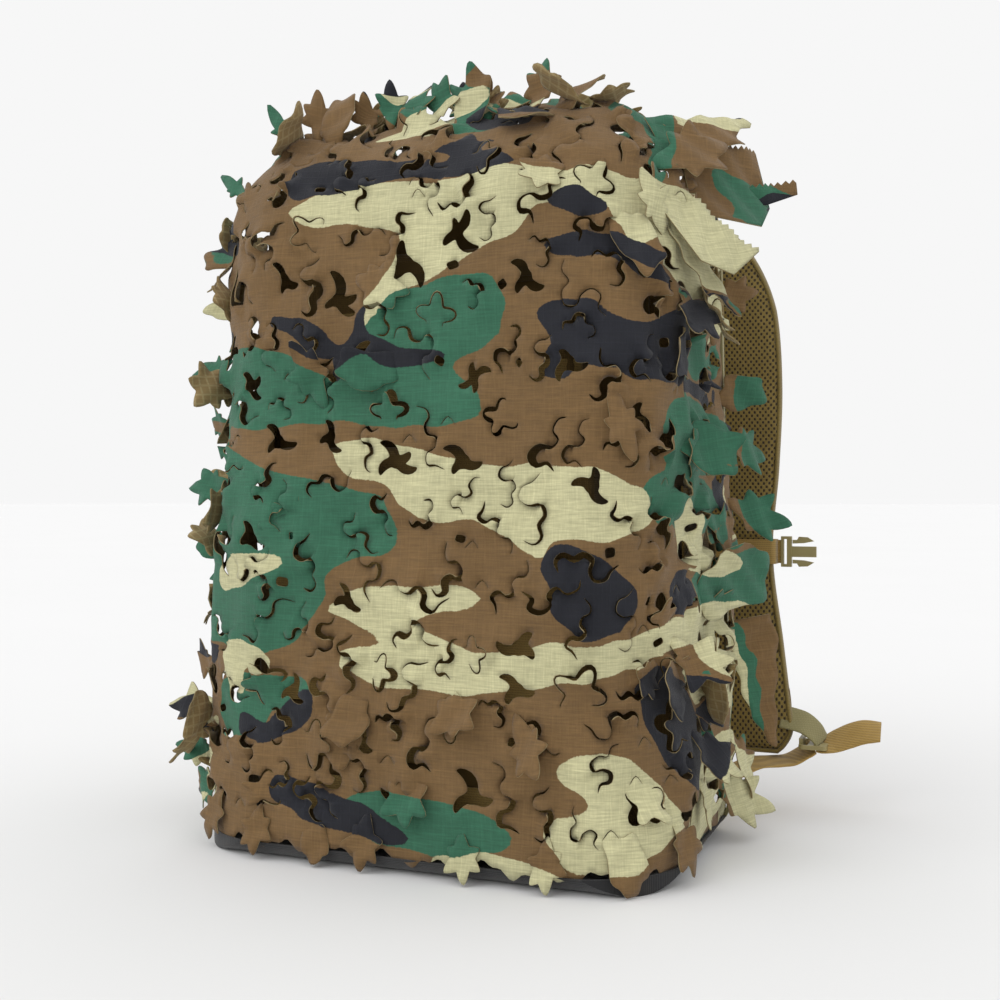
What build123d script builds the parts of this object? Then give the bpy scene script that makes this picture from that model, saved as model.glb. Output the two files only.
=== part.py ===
"""A padded day pack wearing a laser-cut leaf camouflage cover, as an assembly of separate pieces.

Millimetres, +Z up.  X runs across the pack, -Y is the front (pockets), +Y is the wearer's side (straps).
The origin is the middle of the base, on the surface that the pack stands on.
"""
from build123d import *
import os
from math import cos, pi, sin, sqrt

os.makedirs("parts", exist_ok=True)

# ---- driving dimensions -------------------------------------------------------------------------
# Camouflage cover: a five-sided cloth hood, open at the back
COVER_HALF_LOW = 181.0      # half width at the base
COVER_HALF_HIGH = 172.0     # half width at the top
COVER_HEIGHT = 520.0
COVER_FRONT = -104.0
COVER_HEM = 96.0            # y of the open rear edge
COVER_LEAN = 20.0           # how far the front leans back between base and top
COVER_CLOTH = 2.0           # cloth, leaf layer included
BAND_HEIGHT = 12.0          # black band under the leaf layer
HEM_WIDTH = 6.0
CORD_RADIUS = 1.4           # elastic edge cord

# Bag
BAG_CLEAR = 12.0            # from the cover's outer face to the bag's side
BAG_BASE = 4.0
BAG_FRONT = -24.0
BAG_REAR = 98.0
BAG_WALL = 4.0
PANEL_HALF = 140.0          # front panel inside the zip
PANEL_LOW, PANEL_HIGH = 32.0, 480.0
ZIP_WIDTH = 8.0
ZIP_LOW = 52.0              # the zip's two lower ends
COIL_HIGH = 1.5
COIL_WIDE = 3.0
WEBBING = 25.0              # standard webbing width
WEBBING_THICK = 1.6
NARROW_WEBBING = 20.0
ROW_PITCH = 38.0            # attachment webbing rows

# Front pockets: half width, low z, high z, front y
LOWER_POCKET = dict(half=130.0, low=16.0, high=288.0, front=-80.0)
UPPER_POCKET = dict(half=112.0, low=300.0, high=424.0, front=-62.0)
POCKET_WALL = 3.0
POCKET_ZIP_DROP = 24.0      # zip below the pocket's top

# Back panel
PANEL_CLOTH = 2.0
PAD_DEPTH = 13.0

# Shoulder strap (right side; the left one is its mirror): centreline x, y, z
STRAP_LINE = [
    (82, 110, 454), (91, 130, 469), (112, 149, 474), (136, 160, 462), (154, 167, 436), (165, 174, 398),
    (169, 181, 340), (167, 187, 275), (163, 189, 205), (174, 186, 130), (187.5, 176, 46),
]
STRAP_WIDTH_TOP, STRAP_WIDTH_MID, STRAP_WIDTH_END = 60.0, 75.0, 60.0
STRAP_END_ROUND = 0.045     # share of the strap's length over which its lower end rounds off
STRAP_END_NARROW = 26.0     # width lost at the very end
STRAP_SECTIONS = 26
STRAP_END_SHARES = [0.975, 0.99, 1.0]
FOAM = 10.0                 # foam core with its face cloth
LINING = 2.5                # spacer mesh on the wearer's side
STERNUM_AT = 0.682          # place of the sternum slider along the strap, 0 top to 1 end
RING_GAP = 3.0              # slack of the sternum loop at the strap's edges
RING_DEPTH_GAP = 1.5
RING_WALL = 1.6

# Hand-adjusted webbing below the right strap
LOCK_CENTRE = (232.0, 180.0, 52.5)
END_TAB_LINE = [(216, 178.5, 71), (225, 179, 68.5), (233, 179, 63)]
END_TAB_ACROSS = [(0, 0.85, 0.5)] * 3
TAIL_LINE = [(239, 180, 52.5), (248, 180, 56), (258, 180, 61), (269, 180, 65), (283, 180, 66)]
TAIL_ACROSS = [(0, 0.95, 0.3), (0, 0.8, 0.55), (0, 0.76, 0.65), (0, 0.8, 0.6), (0, 0.93, 0.36)]
LOWER_LINE = [(164, 108, 27), (175, 128, 33), (189, 149, 36.5), (202, 162, 36.5), (212, 170, 37),
              (221, 176, 40.5)]
LOWER_ACROSS = [(1, -0.3, 0), (1, -0.5, -0.1), (0.8, -0.8, -0.2), (0.6, -1, -0.15), (0.2, -1, -0.05),
                (0, -1, 0)]


def wall_half(z):
    """Half width of the cover at height z, between its rounded corners."""
    return COVER_HALF_LOW - (COVER_HALF_LOW - COVER_HALF_HIGH) * z / COVER_HEIGHT


def save(part, name):
    """Labels one finished piece and writes it as its own STEP file."""
    part.label = name
    export_step(part, f"parts/{name}.step")


def form(half_low, half_high, low, high, front, rear, lean=0.0, r_top=0.0, r_base=0.0, r_plan=0.0,
         r_brow=0.0):
    """A soft box: the meeting of a front, a side and a plan outline, each with rounded corners."""
    with BuildPart() as shape:
        with BuildSketch(Plane.XZ):
            Polygon((-half_low, low), (half_low, low), (half_high, high), (-half_high, high), align=None)
            if r_base:
                fillet(vertices().sort_by(Axis.Y)[:2], r_base)
            if r_top:
                fillet(vertices().sort_by(Axis.Y)[-2:], r_top)
        extrude(amount=400, both=True)
        with BuildSketch(Plane.YZ):
            Polygon((front, low), (rear, low), (rear, high), (front + lean, high), align=None)
            if r_base:
                fillet(vertices().sort_by(Axis.Y)[:2].sort_by(Axis.X)[0], r_base)
            if r_brow:
                fillet(vertices().sort_by(Axis.Y)[-2:].sort_by(Axis.X)[0], r_brow)
        extrude(amount=400, both=True, mode=Mode.INTERSECT)
        with BuildSketch(Plane.XY):
            Polygon((-half_low, front), (half_low, front), (half_low, rear), (-half_low, rear), align=None)
            if r_plan:
                fillet(vertices().sort_by(Axis.Y)[:2], r_plan)
        extrude(amount=high, mode=Mode.INTERSECT)
    return shape.part


def cover_form(inset, rear, low):
    """The cover's outer shape, moved in by inset; its rear and base planes are given."""
    return form(COVER_HALF_LOW - inset, COVER_HALF_HIGH - inset, low, COVER_HEIGHT - inset,
                COVER_FRONT + inset, rear, COVER_LEAN, 80 - inset, 22 - inset, 80 - inset, 85 - inset)


def bag_form(grow, rear=BAG_REAR, front=BAG_FRONT, low=BAG_BASE):
    """The bag's outer shape, grown on its sides and top by grow."""
    return form(COVER_HALF_LOW - BAG_CLEAR + grow, COVER_HALF_HIGH - BAG_CLEAR + grow, low,
                COVER_HEIGHT - BAG_CLEAR + grow, front, rear, 0, 66 + grow, 14, 20, 24)


def pocket_form(pocket, grow, rear=BAG_FRONT):
    """A front pocket's outer shape, grown by grow."""
    return form(pocket["half"] + grow, pocket["half"] - 4 + grow, pocket["low"] - grow, pocket["high"] + grow,
                pocket["front"] - grow, rear, 0, 22 + grow, 14 + grow, 26 + grow, 12 + grow)


def cut_band(outer, inner, boxes):
    """The layer between two forms, kept only inside the boxes given as (low corner, high corner)."""
    with BuildPart() as band:
        for low, high in boxes:
            with Locations([tuple((a + b) / 2 for a, b in zip(low, high))]):
                Box(*(b - a for a, b in zip(low, high)))
        add(outer, mode=Mode.INTERSECT)
        add(inner, mode=Mode.SUBTRACT)
    return band.part


# ---- camouflage cover ---------------------------------------------------------------------------
def make_cover():
    leaf_rear = COVER_HEM - HEM_WIDTH
    with BuildPart() as hood:
        add(cover_form(0, leaf_rear, 0))
        add(cover_form(COVER_CLOTH, leaf_rear + 1, COVER_CLOTH), mode=Mode.SUBTRACT)
        split(bisect_by=Plane.XY.offset(BAND_HEIGHT), keep=Keep.TOP)
    save(hood.part, "cover_leaf_cloth")
    with BuildPart() as band:
        add(cover_form(0, leaf_rear, 0))
        add(cover_form(COVER_CLOTH, leaf_rear + 1, COVER_CLOTH), mode=Mode.SUBTRACT)
        split(bisect_by=Plane.XY.offset(BAND_HEIGHT), keep=Keep.BOTTOM)
    save(band.part, "cover_base_band")
    slab = ((-300, leaf_rear, -10), (300, COVER_HEM, 600))
    outer = cover_form(-0.8, COVER_HEM, 0)
    inner = cover_form(COVER_CLOTH, COVER_HEM + 1, COVER_CLOTH)
    save(cut_band(outer, inner, [slab]), "cover_hem_binding")
    # Elastic cord lying on the rear face of the binding, all the way round
    inset = COVER_CLOTH / 2
    with BuildSketch(Plane.XZ.offset(-(COVER_HEM + CORD_RADIUS))) as loop:
        Polygon((-COVER_HALF_LOW + inset, CORD_RADIUS), (COVER_HALF_LOW - inset, CORD_RADIUS),
                (COVER_HALF_HIGH - inset, COVER_HEIGHT - inset),
                (-COVER_HALF_HIGH + inset, COVER_HEIGHT - inset),
                align=None)
        fillet(vertices().sort_by(Axis.Y)[:2], 22 - inset)
        fillet(vertices().sort_by(Axis.Y)[-2:], 80 - inset)
    route = loop.sketch.face().outer_wire()
    with BuildPart() as cord:
        with BuildSketch(Plane(origin=route @ 0, z_dir=route % 0)):
            Circle(CORD_RADIUS)
        sweep(path=route)
    print("edge cord volume", cord.part.volume, "section x length", pi * CORD_RADIUS**2 * route.length)
    save(cord.part, "cover_edge_cord")


LEAF_THICK = 0.8
LEAF_STALK = 6.0
LEAF_LOBES = [1.0, 0.45, 0.86, 0.4, 0.95, 0.42, 0.7, 0.5, 0.9, 0.38]


def leaf_points(size):
    """A five-lobed leaf, lying along +X with its stalk at the origin."""
    count = len(LEAF_LOBES)
    return [(size * (0.5 + 0.52 * lobe * cos(2 * pi * i / count)),
             size * 0.5 * lobe * sin(2 * pi * i / count))
            for i, lobe in enumerate(LEAF_LOBES)]


def leaf_group(name, leaves):
    """Leaves as separate thin solids: (root, direction of growth, face normal, size) each."""
    with BuildPart() as group:
        for root, along, normal, size in leaves:
            with BuildSketch(Plane(origin=root, x_dir=along, z_dir=normal)):
                Polygon(*leaf_points(size), align=None)
                with Locations((size * 0.2, 0)):
                    Rectangle(size * 0.4, LEAF_STALK)
            extrude(amount=LEAF_THICK)
    save(group.part, name)


def round_drop(radius, past):
    """How far a rounded corner has fallen away at a distance past its start."""
    return radius - sqrt(radius**2 - max(past, 0)**2)


def make_leaves():
    crown = []
    for x, y, tilt, size in ((-118, -20, -0.3, 42), (-72, 10, -0.2, 36), (-30, -10, 0.1, 38),
                             (8, 20, 0.15, 36), (52, 0, 0.3, 34), (92, 30, 0.4, 32)):
        drop = round_drop(80, abs(x) - 92) + round_drop(85, 1 - y)
        crown.append(((x, y, COVER_HEIGHT - drop - 1), (tilt, 0, 1), (0, -1, 0), size))
    leaf_group("crown_leaves", crown)
    left = ((-10, 400, 0.3, 36), (30, 330, -0.5, 36), (-5, 262, 0.0, 38), (40, 190, 0.4, 30),
            (0, 128, -0.2, 42), (35, 62, 0.1, 34))
    right = ((70, 420, 0.5, 50), (60, 370, 0.2, 38), (70, 300, 0.5, 30), (74, 238, -0.1, 34),
             (60, 160, -0.4, 28), (40, 84, -0.6, 34), (10, 46, -0.1, 38))
    for side, name, leaves in ((-1, "left_edge_leaves", left), (1, "right_edge_leaves", right)):
        leaf_group(name, [((side * (wall_half(z) - 1), y, z), (side, 0, rise), (0, -1, 0), size)
                          for y, z, rise, size in leaves])
    hem = [((x, COVER_FRONT + COVER_LEAN * 36 / COVER_HEIGHT - 0.6, 36), (0, 0, -1), (0, -1, 0), 31)
           for x in (-70, 0, 66)]
    leaf_group("hem_leaves", hem)


# ---- bag ----------------------------------------------------------------------------------------
def panel_slab(grow, y_front, y_rear):
    """The front panel's outline as a flat slab, grown by grow, between two y planes."""
    half = PANEL_HALF + grow
    with BuildPart() as slab:
        with BuildSketch(Plane.XZ.offset(-y_rear)):
            Polygon((-half, PANEL_LOW - grow), (half, PANEL_LOW - grow), (half, PANEL_HIGH + grow),
                    (-half, PANEL_HIGH + grow), align=None)
            fillet(vertices().sort_by(Axis.Y)[:2], 6 + grow)
            fillet(vertices().sort_by(Axis.Y)[-2:], 62 + grow)
        extrude(amount=y_rear - y_front)
    return slab.part


def make_bag():
    rear = BAG_FRONT + BAG_WALL
    hole = panel_slab(ZIP_WIDTH, BAG_FRONT, rear)
    panel = panel_slab(0, BAG_FRONT, rear)
    with BuildPart() as shell:
        add(bag_form(0))
        add(bag_form(-BAG_WALL, BAG_REAR - BAG_WALL, BAG_FRONT + BAG_WALL, BAG_BASE + BAG_WALL),
            mode=Mode.SUBTRACT)
        add(hole, mode=Mode.SUBTRACT)
    save(shell.part, "bag_shell")
    with BuildPart() as front:
        add(hole)
        split(bisect_by=Plane.XY.offset(ZIP_LOW), keep=Keep.BOTTOM)
        add(panel)
    save(front.part, "front_panel")
    middle = ZIP_WIDTH / 2
    coil = panel_slab(middle + COIL_WIDE / 2, BAG_FRONT - COIL_HIGH, BAG_FRONT)
    coil_core = panel_slab(middle - COIL_WIDE / 2, BAG_FRONT - COIL_HIGH, BAG_FRONT)
    with BuildPart() as zipper:
        add(hole)
        add(panel, mode=Mode.SUBTRACT)
        add(coil)
        add(coil_core, mode=Mode.SUBTRACT)
        split(bisect_by=Plane.XY.offset(ZIP_LOW), keep=Keep.TOP)
    save(zipper.part, "main_zip")
    with BuildPart() as sheet:
        with BuildSketch(Plane.XZ.offset(-(BAG_REAR - BAG_WALL))):
            with Locations((0, 255)):
                RectangleRounded(240, 430, 24)
        extrude(amount=2.2)
    save(sheet.part, "frame_sheet")


def make_pocket(pocket, name, rows):
    with BuildPart() as shell:
        add(pocket_form(pocket, 0))
        add(pocket_form(pocket, -POCKET_WALL, BAG_FRONT + 1), mode=Mode.SUBTRACT)
    save(shell.part, f"{name}_pocket")
    half = pocket["half"] - 30
    zip_z = pocket["high"] - POCKET_ZIP_DROP
    with BuildPart() as zipper:
        with Locations((0, pocket["front"] - 0.5, zip_z)):
            Box(2 * half, 1.0, 10)
        with Locations((0, pocket["front"] - 1.5, zip_z)):
            Box(2 * half - 6, 1.0, COIL_WIDE)
    save(zipper.part, f"{name}_pocket_zip")
    boxes = [((-pocket["half"] + 3, pocket["front"] - 5, z - WEBBING / 2),
              (pocket["half"] - 3, pocket["front"] + 24, z + WEBBING / 2)) for z in rows]
    bands = cut_band(pocket_form(pocket, WEBBING_THICK), pocket_form(pocket, 0), boxes)
    save(bands, f"{name}_pocket_webbing")


def make_side_webbing():
    """Attachment rows, compression straps and their buckles on both sides of the bag."""
    skin = bag_form(WEBBING_THICK), bag_form(0)
    strap_heights = (110, 384)
    sides = ((-200, -130), (130, 200))
    rows = [((near, 0, z - WEBBING / 2), (far, 84, z + WEBBING / 2))
            for near, far in sides for z in (170 + ROW_PITCH * i for i in range(5))]
    save(cut_band(*skin, rows), "side_webbing")
    straps = [((near, -14, z - NARROW_WEBBING / 2), (far, 90, z + NARROW_WEBBING / 2))
              for near, far in sides for z in strap_heights]
    save(cut_band(*skin, straps), "compression_straps")
    with BuildPart() as buckles:
        for side in (-1, 1):
            for z in strap_heights:
                x = side * (wall_half(z) - BAG_CLEAR + WEBBING_THICK + 2.6)
                with Locations((x, 30, z)):
                    Box(4.4, 30, 27)
                with Locations((x, 27, z), (x, 38, z)):
                    Box(5, 4, 20.5, mode=Mode.SUBTRACT)
        fillet(buckles.edges().filter_by(Axis.X).group_by(Axis.Y)[-1], 3)
    save(buckles.part, "compression_buckles")


def make_back():
    face = BAG_REAR + PANEL_CLOTH
    with BuildPart() as panel:
        add(bag_form(-3, BAG_REAR + PANEL_CLOTH, 0, BAG_BASE + 4))
        split(bisect_by=Plane.XZ.offset(-BAG_REAR), keep=Keep.BOTTOM)
    save(panel.part, "back_panel")
    pads = {"back_pads": [(-72, 268, 108, 300), (72, 268, 108, 300)], "lumbar_pad": [(0, 68, 236, 84)]}
    for name, places in pads.items():
        with BuildPart() as pad:
            for x, z, wide, tall in places:
                with BuildSketch(Plane.XZ.offset(-face)):
                    with Locations((x, z)):
                        RectangleRounded(wide, tall, 22)
            extrude(amount=-PAD_DEPTH)
            fillet(pad.faces().group_by(Axis.Y)[-1].edges(), 6)
        save(pad.part, name)
    with BuildPart() as yokes:
        with BuildSketch(Plane.XZ.offset(-face)):
            with Locations((-82, 437), (82, 437)):
                RectangleRounded(66, 22, 6)
        extrude(amount=-3)
    save(yokes.part, "strap_yokes")
    with BuildPart() as anchors:
        for side in (-1, 1):
            with BuildSketch(Plane.XZ.offset(-face)):
                Polygon((side * 134, 12), (side * 161, 12), (side * 161, 60), (side * 146, 60), align=None)
            extrude(amount=-4)
    save(anchors.part, "lower_anchors")


# ---- haul handle --------------------------------------------------------------------------------
HANDLE_PIVOT = (0, BAG_REAR + PANEL_CLOTH + 5, 482)
HANDLE_HALF = 40.0
HANDLE_DROP = 46.0
HANDLE_BAND = 16.0


def make_handle():
    back = HANDLE_PIVOT[1] - 1.2
    with BuildPart() as loop:
        with BuildSketch(Plane.XZ.offset(-back)):
            with Locations((0, HANDLE_PIVOT[2] - HANDLE_DROP / 2)):
                RectangleRounded(2 * HANDLE_HALF, HANDLE_DROP, 16)
                RectangleRounded(2 * (HANDLE_HALF - HANDLE_BAND), HANDLE_DROP - 2 * HANDLE_BAND + 4, 6,
                                 mode=Mode.SUBTRACT)
        extrude(amount=-2.4)
    save(loop.part, "haul_loop")
    with BuildPart() as grip:
        with Locations((0, HANDLE_PIVOT[1], HANDLE_PIVOT[2] - HANDLE_DROP + HANDLE_BAND / 2 - 0.5)):
            Box(50, 7, HANDLE_BAND - 1)
        fillet(grip.edges().filter_by(Axis.X), 3)
        with Locations((0, HANDLE_PIVOT[1], HANDLE_PIVOT[2] - HANDLE_DROP + HANDLE_BAND / 2)):
            Box(60, 2.4, HANDLE_BAND + 0.2, mode=Mode.SUBTRACT)
    save(grip.part, "haul_grip")


# ---- shoulder straps ----------------------------------------------------------------------------
with BuildLine() as strap_centre:
    Spline(*STRAP_LINE)
STRAP_WIRE = strap_centre.line


def strap_width(u):
    """Pad width at u along the strap: wider in the middle and rounded off at its lower end."""
    if u < 0.3:
        return STRAP_WIDTH_TOP + (STRAP_WIDTH_MID - STRAP_WIDTH_TOP) * u / 0.3
    rounding = max(0.0, 1 - (1 - u) / STRAP_END_ROUND)
    straight = STRAP_WIDTH_MID + (STRAP_WIDTH_END - STRAP_WIDTH_MID) * (u - 0.3) / 0.7
    return straight - STRAP_END_NARROW * rounding**2


def strap_frame(u):
    """Place, downhill direction, width direction and inward normal at u; the width always lies along X."""
    place, along = STRAP_WIRE @ u, STRAP_WIRE % u
    along = Vector(0, along.Y, along.Z).normalized()
    across = Vector(1, 0, 0)
    return place, along, across, along.cross(across)


def banded_loft(stations):
    """A ruled band through stations of (place, across, inward, width, inner offset, outer offset)."""
    with BuildPart() as band:
        for place, across, inward, width, inner, outer in stations:
            points = [place + across * (side * width / 2) + inward * depth
                      for side, depth in ((-1, inner), (1, inner), (1, outer), (-1, outer))]
            with BuildSketch(Plane(origin=place, x_dir=across, z_dir=across.cross(inward))):
                local = Plane(origin=place, x_dir=across, z_dir=across.cross(inward))
                Polygon(*[tuple(local.to_local_coords(p))[:2] for p in points], align=None)
        loft(ruled=True)
    return band.part


def strap_layer(inner, outer, width=None, start=0.0, end=1.0):
    """One layer of the strap between two depths along its inward normal."""
    stations = []
    shares = [i / STRAP_SECTIONS for i in range(STRAP_SECTIONS)] + STRAP_END_SHARES
    for share in shares:
        u = start + (end - start) * share
        place, along, across, inward = strap_frame(u)
        stations.append((place, across, inward, width or strap_width(u), inner, outer))
    return banded_loft(stations)


def free_band(points, across_at, width, thick):
    """A webbing band along points, with a width direction for each."""
    stations = []
    for i, point in enumerate(points):
        ahead = Vector(*points[min(i + 1, len(points) - 1)]) - Vector(*points[max(i - 1, 0)])
        along = ahead.normalized()
        across = Vector(*across_at[i])
        across = (across - along * along.dot(across)).normalized()
        stations.append((Vector(*point), across, along.cross(across), width, -thick / 2, thick / 2))
    return banded_loft(stations)


def ring_box(place, along, across, inward, wide, deep, tall, wall):
    """A rectangular loop of webbing round the strap at one place."""
    with BuildPart() as ring:
        with BuildSketch(Plane(origin=place - along * (tall / 2), x_dir=across, z_dir=along)):
            RectangleRounded(wide + 2 * wall, deep + 2 * wall, 4)
            RectangleRounded(wide, deep, 2.5, mode=Mode.SUBTRACT)
        extrude(amount=tall)
    return ring.part


def make_sternum(side_parts):
    """Slider loop round the right strap, with the plug half of the buckle at its outer edge."""
    place, along, across, inward = strap_frame(STERNUM_AT)
    depth = FOAM + LINING + WEBBING_THICK
    middle = place + inward * ((LINING - WEBBING_THICK) / 2)
    wide = strap_width(STERNUM_AT)
    side_parts["sternum_slider"] = ring_box(middle, along, across, inward, wide + 2 * RING_GAP,
                                            depth + 2 * RING_DEPTH_GAP, NARROW_WEBBING, RING_WALL)
    return place + across * (wide / 2 + RING_GAP + RING_WALL)


def make_straps():
    """Builds the right strap's pieces and mirrors them for the left."""
    half = FOAM / 2
    outer = -half
    parts = {
        "strap_foam": strap_layer(-half, half),
        "strap_mesh_lining": strap_layer(half, half + LINING),
        "strap_daisy_webbing": strap_layer(outer - WEBBING_THICK, outer, WEBBING, 0.08, 0.97),
    }
    edge = make_sternum(parts)
    parts["ladder_lock"] = make_ladder_lock()
    parts["strap_end_tab"] = free_band(END_TAB_LINE, END_TAB_ACROSS, WEBBING, WEBBING_THICK)
    parts["strap_tail"] = free_band(TAIL_LINE, TAIL_ACROSS, WEBBING, WEBBING_THICK)
    parts["lower_webbing"] = free_band(LOWER_LINE, LOWER_ACROSS, WEBBING, WEBBING_THICK)
    for name, part in parts.items():
        save(part, f"{name}_right")
        save(mirror(part, about=Plane.YZ), f"{name}_left")
    return edge


def make_ladder_lock():
    """A flat adjuster with two webbing slots and a lifting lip."""
    with BuildPart() as lock:
        with Locations(Location(LOCK_CENTRE, (0, 0, 0))):
            Box(22, 31, 3.4)
        fillet(lock.edges().filter_by(Axis.Z), 3)
        for dx in (-6, 3):
            with Locations((LOCK_CENTRE[0] + dx, LOCK_CENTRE[1], LOCK_CENTRE[2])):
                Box(4, 26, 5, mode=Mode.SUBTRACT)
        with Locations((LOCK_CENTRE[0] - 9.5, LOCK_CENTRE[1], LOCK_CENTRE[2] + 3)):
            Box(3, 20, 6)
    return lock.part


# ---- sternum buckle -----------------------------------------------------------------------------
PLUG_LONG, PLUG_BLOCK, PLUG_HALF, PLUG_THICK = 28.0, 8.4, 12.5, 5.0
TONGUE_TALL, TONGUE_THICK = 8.6, 2.8
PRONG_ROOT_Z = 8.1          # prong hinge above or below the plug's middle
PRONG_OUTLINE = [(0, 6.6), (9, 7), (17, 8.6), (12, 11.8), (5, 12.2), (3.5, 9.6), (0, 9.6)]


def make_buckle(edge):
    """Plug on the right strap, socket on the left, both flat in the X-Z plane and hinged at their webbing."""
    y, z = edge.Y, edge.Z
    pivot_x = edge.X + 1.8
    body_x = pivot_x + 1.6
    with BuildPart() as webbing:
        with Locations((pivot_x + 0.9, y, z)):
            Box(4.2, 2.4, NARROW_WEBBING - 1)
    save(webbing.part, "plug_webbing")
    save(mirror(webbing.part, about=Plane.YZ), "socket_webbing")
    slot_x = body_x + 3.4
    with BuildPart() as plug:
        with Locations((body_x + PLUG_BLOCK / 2, y, z)):
            Box(PLUG_BLOCK, PLUG_THICK, 2 * PLUG_HALF)
        fillet(plug.edges().filter_by(Axis.X), 1)
        with Locations((slot_x, y, z)):
            Box(2.6, PLUG_THICK + 1, NARROW_WEBBING + 0.5, mode=Mode.SUBTRACT)
        with Locations((body_x + (PLUG_BLOCK + PLUG_LONG) / 2, y, z)):
            Box(PLUG_LONG - PLUG_BLOCK, TONGUE_THICK, TONGUE_TALL)
    save(plug.part, "plug_body")
    root_x = body_x + PLUG_BLOCK + 0.8
    with BuildPart() as prong:
        with BuildSketch(Plane.XZ.offset(-(y - 1.6))):
            Polygon(*[(root_x + dx, z + dz) for dx, dz in PRONG_OUTLINE], align=None)
        extrude(amount=-3.2)
    save(prong.part, "plug_prong_upper")
    save(mirror(prong.part, about=Plane.XY.offset(z)), "plug_prong_lower")
    with BuildPart() as socket:
        with Locations((-(body_x + PLUG_LONG / 2), y, z)):
            Box(PLUG_LONG, 8.4, 2 * PLUG_HALF + 3)
        fillet(socket.edges().filter_by(Axis.X), 2.5)
        with Locations((-(body_x + 19), y, z)):
            Box(24, PLUG_THICK + 0.6, 2 * PLUG_HALF - 2, mode=Mode.SUBTRACT)
        with Locations((-(body_x + 19.5), y, z)):
            Box(10, PLUG_THICK - 0.6, 40, mode=Mode.SUBTRACT)
        with Locations((-slot_x, y, z)):
            Box(2.6, 10, NARROW_WEBBING + 0.5, mode=Mode.SUBTRACT)
    save(socket.part, "socket_body")
    print("plug pivot", (pivot_x, y, z), "prong roots x", root_x, "z offset", PRONG_ROOT_Z)


# ---- zip sliders --------------------------------------------------------------------------------
def make_slider(name, place, across):
    """A slider on a front-facing zip with its pull hanging below; across is the zip's cross direction."""
    x, y, z = place
    along_x = across == "z"
    size = (11, 2.8, 8) if along_x else (8, 2.8, 11)
    with BuildPart() as slider:
        with Locations((x, y - 1.4 - 0.4, z)):
            Box(*size)
            fillet(slider.edges().filter_by(Axis.Y), 2)
        with Locations((x, y - 4.4, z)):
            Box(3, 2.4, 5)
    save(slider.part, f"{name}_slider")
    with BuildPart() as pull:
        with BuildSketch(Plane.XZ.offset(-(y - 4.2))):
            with Locations((x, z - 13)):
                RectangleRounded(8, 36, 3)
            with Locations((x, z - 0.4)):
                Rectangle(3.8, 6.4, mode=Mode.SUBTRACT)
        extrude(amount=1.6)
    save(pull.part, f"{name}_pull")


def make_sliders():
    coil = BAG_FRONT - COIL_HIGH
    for side, name in ((1, "main_right"), (-1, "main_left")):
        make_slider(name, (side * (PANEL_HALF + 4), coil, 300), "x")
    for pocket, name, x in ((LOWER_POCKET, "lower", 60), (UPPER_POCKET, "upper", -40)):
        make_slider(name, (x, pocket["front"] - 2.0, pocket["high"] - POCKET_ZIP_DROP), "z")


make_cover()
make_leaves()
make_bag()
make_pocket(LOWER_POCKET, "lower", [46 + ROW_PITCH * i for i in range(5)])
make_pocket(UPPER_POCKET, "upper", [330, 368])
make_side_webbing()
make_back()
make_handle()
buckle_edge = make_straps()
make_buckle(buckle_edge)
make_sliders()
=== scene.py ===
"""Looks for a padded day pack in a leaf-cut camouflage cover.  Metres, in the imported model's own frame."""
from math import cos, pi, radians, sin, tan

import bpy
import numpy as np
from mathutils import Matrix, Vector, geometry, kdtree, noise


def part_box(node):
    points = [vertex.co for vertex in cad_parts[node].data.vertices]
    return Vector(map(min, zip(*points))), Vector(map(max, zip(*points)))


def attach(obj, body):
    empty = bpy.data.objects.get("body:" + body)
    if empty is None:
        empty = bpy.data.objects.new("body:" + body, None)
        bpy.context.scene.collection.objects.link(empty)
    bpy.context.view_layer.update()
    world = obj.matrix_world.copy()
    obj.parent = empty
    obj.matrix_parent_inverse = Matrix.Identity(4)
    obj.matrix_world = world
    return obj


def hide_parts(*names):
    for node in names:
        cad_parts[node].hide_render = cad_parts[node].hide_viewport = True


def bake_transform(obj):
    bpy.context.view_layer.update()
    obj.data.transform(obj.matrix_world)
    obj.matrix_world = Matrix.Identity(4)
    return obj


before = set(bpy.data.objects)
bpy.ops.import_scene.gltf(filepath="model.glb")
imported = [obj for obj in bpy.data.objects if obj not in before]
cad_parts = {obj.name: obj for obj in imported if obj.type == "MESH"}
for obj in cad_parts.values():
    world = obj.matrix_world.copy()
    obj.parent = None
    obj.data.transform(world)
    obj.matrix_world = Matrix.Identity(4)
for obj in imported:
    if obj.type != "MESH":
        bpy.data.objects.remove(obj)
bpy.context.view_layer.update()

MM = 0.001
TINY = 1e-9
CLOTH_THICK = 0.0007
SKIN_THICK = 0.0016
FLOOR_GAP = 0.0012
LEAF_FLOOR_GAP = 0.0015
FRONT_ROOM = 0.011
RIPSTOP = 0.0069
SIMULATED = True
rng = np.random.default_rng(11)
noise.seed_set(11)


# ---- mesh helpers ----
def add_object(name, mesh, materials=(), smooth=True):
    """Links a mesh as an object with its materials."""
    obj = bpy.data.objects.new(name, mesh)
    bpy.context.scene.collection.objects.link(obj)
    for material in materials:
        mesh.materials.append(material)
    if smooth:
        mesh.polygons.foreach_set("use_smooth", [True] * len(mesh.polygons))
    return obj


def mesh_from(name, points, faces):
    """A mesh from points and faces."""
    mesh = bpy.data.meshes.new(name)
    mesh.from_pydata([tuple(p) for p in points], [], [tuple(f) for f in faces])
    mesh.update()
    return mesh


def joined(parts):
    """Points and faces of several meshes as one."""
    points, faces, start = [], [], 0
    for some_points, some_faces in parts:
        points.extend(some_points)
        faces.extend([tuple(v + start for v in face) for face in some_faces])
        start += len(some_points)
    return points, faces


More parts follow.
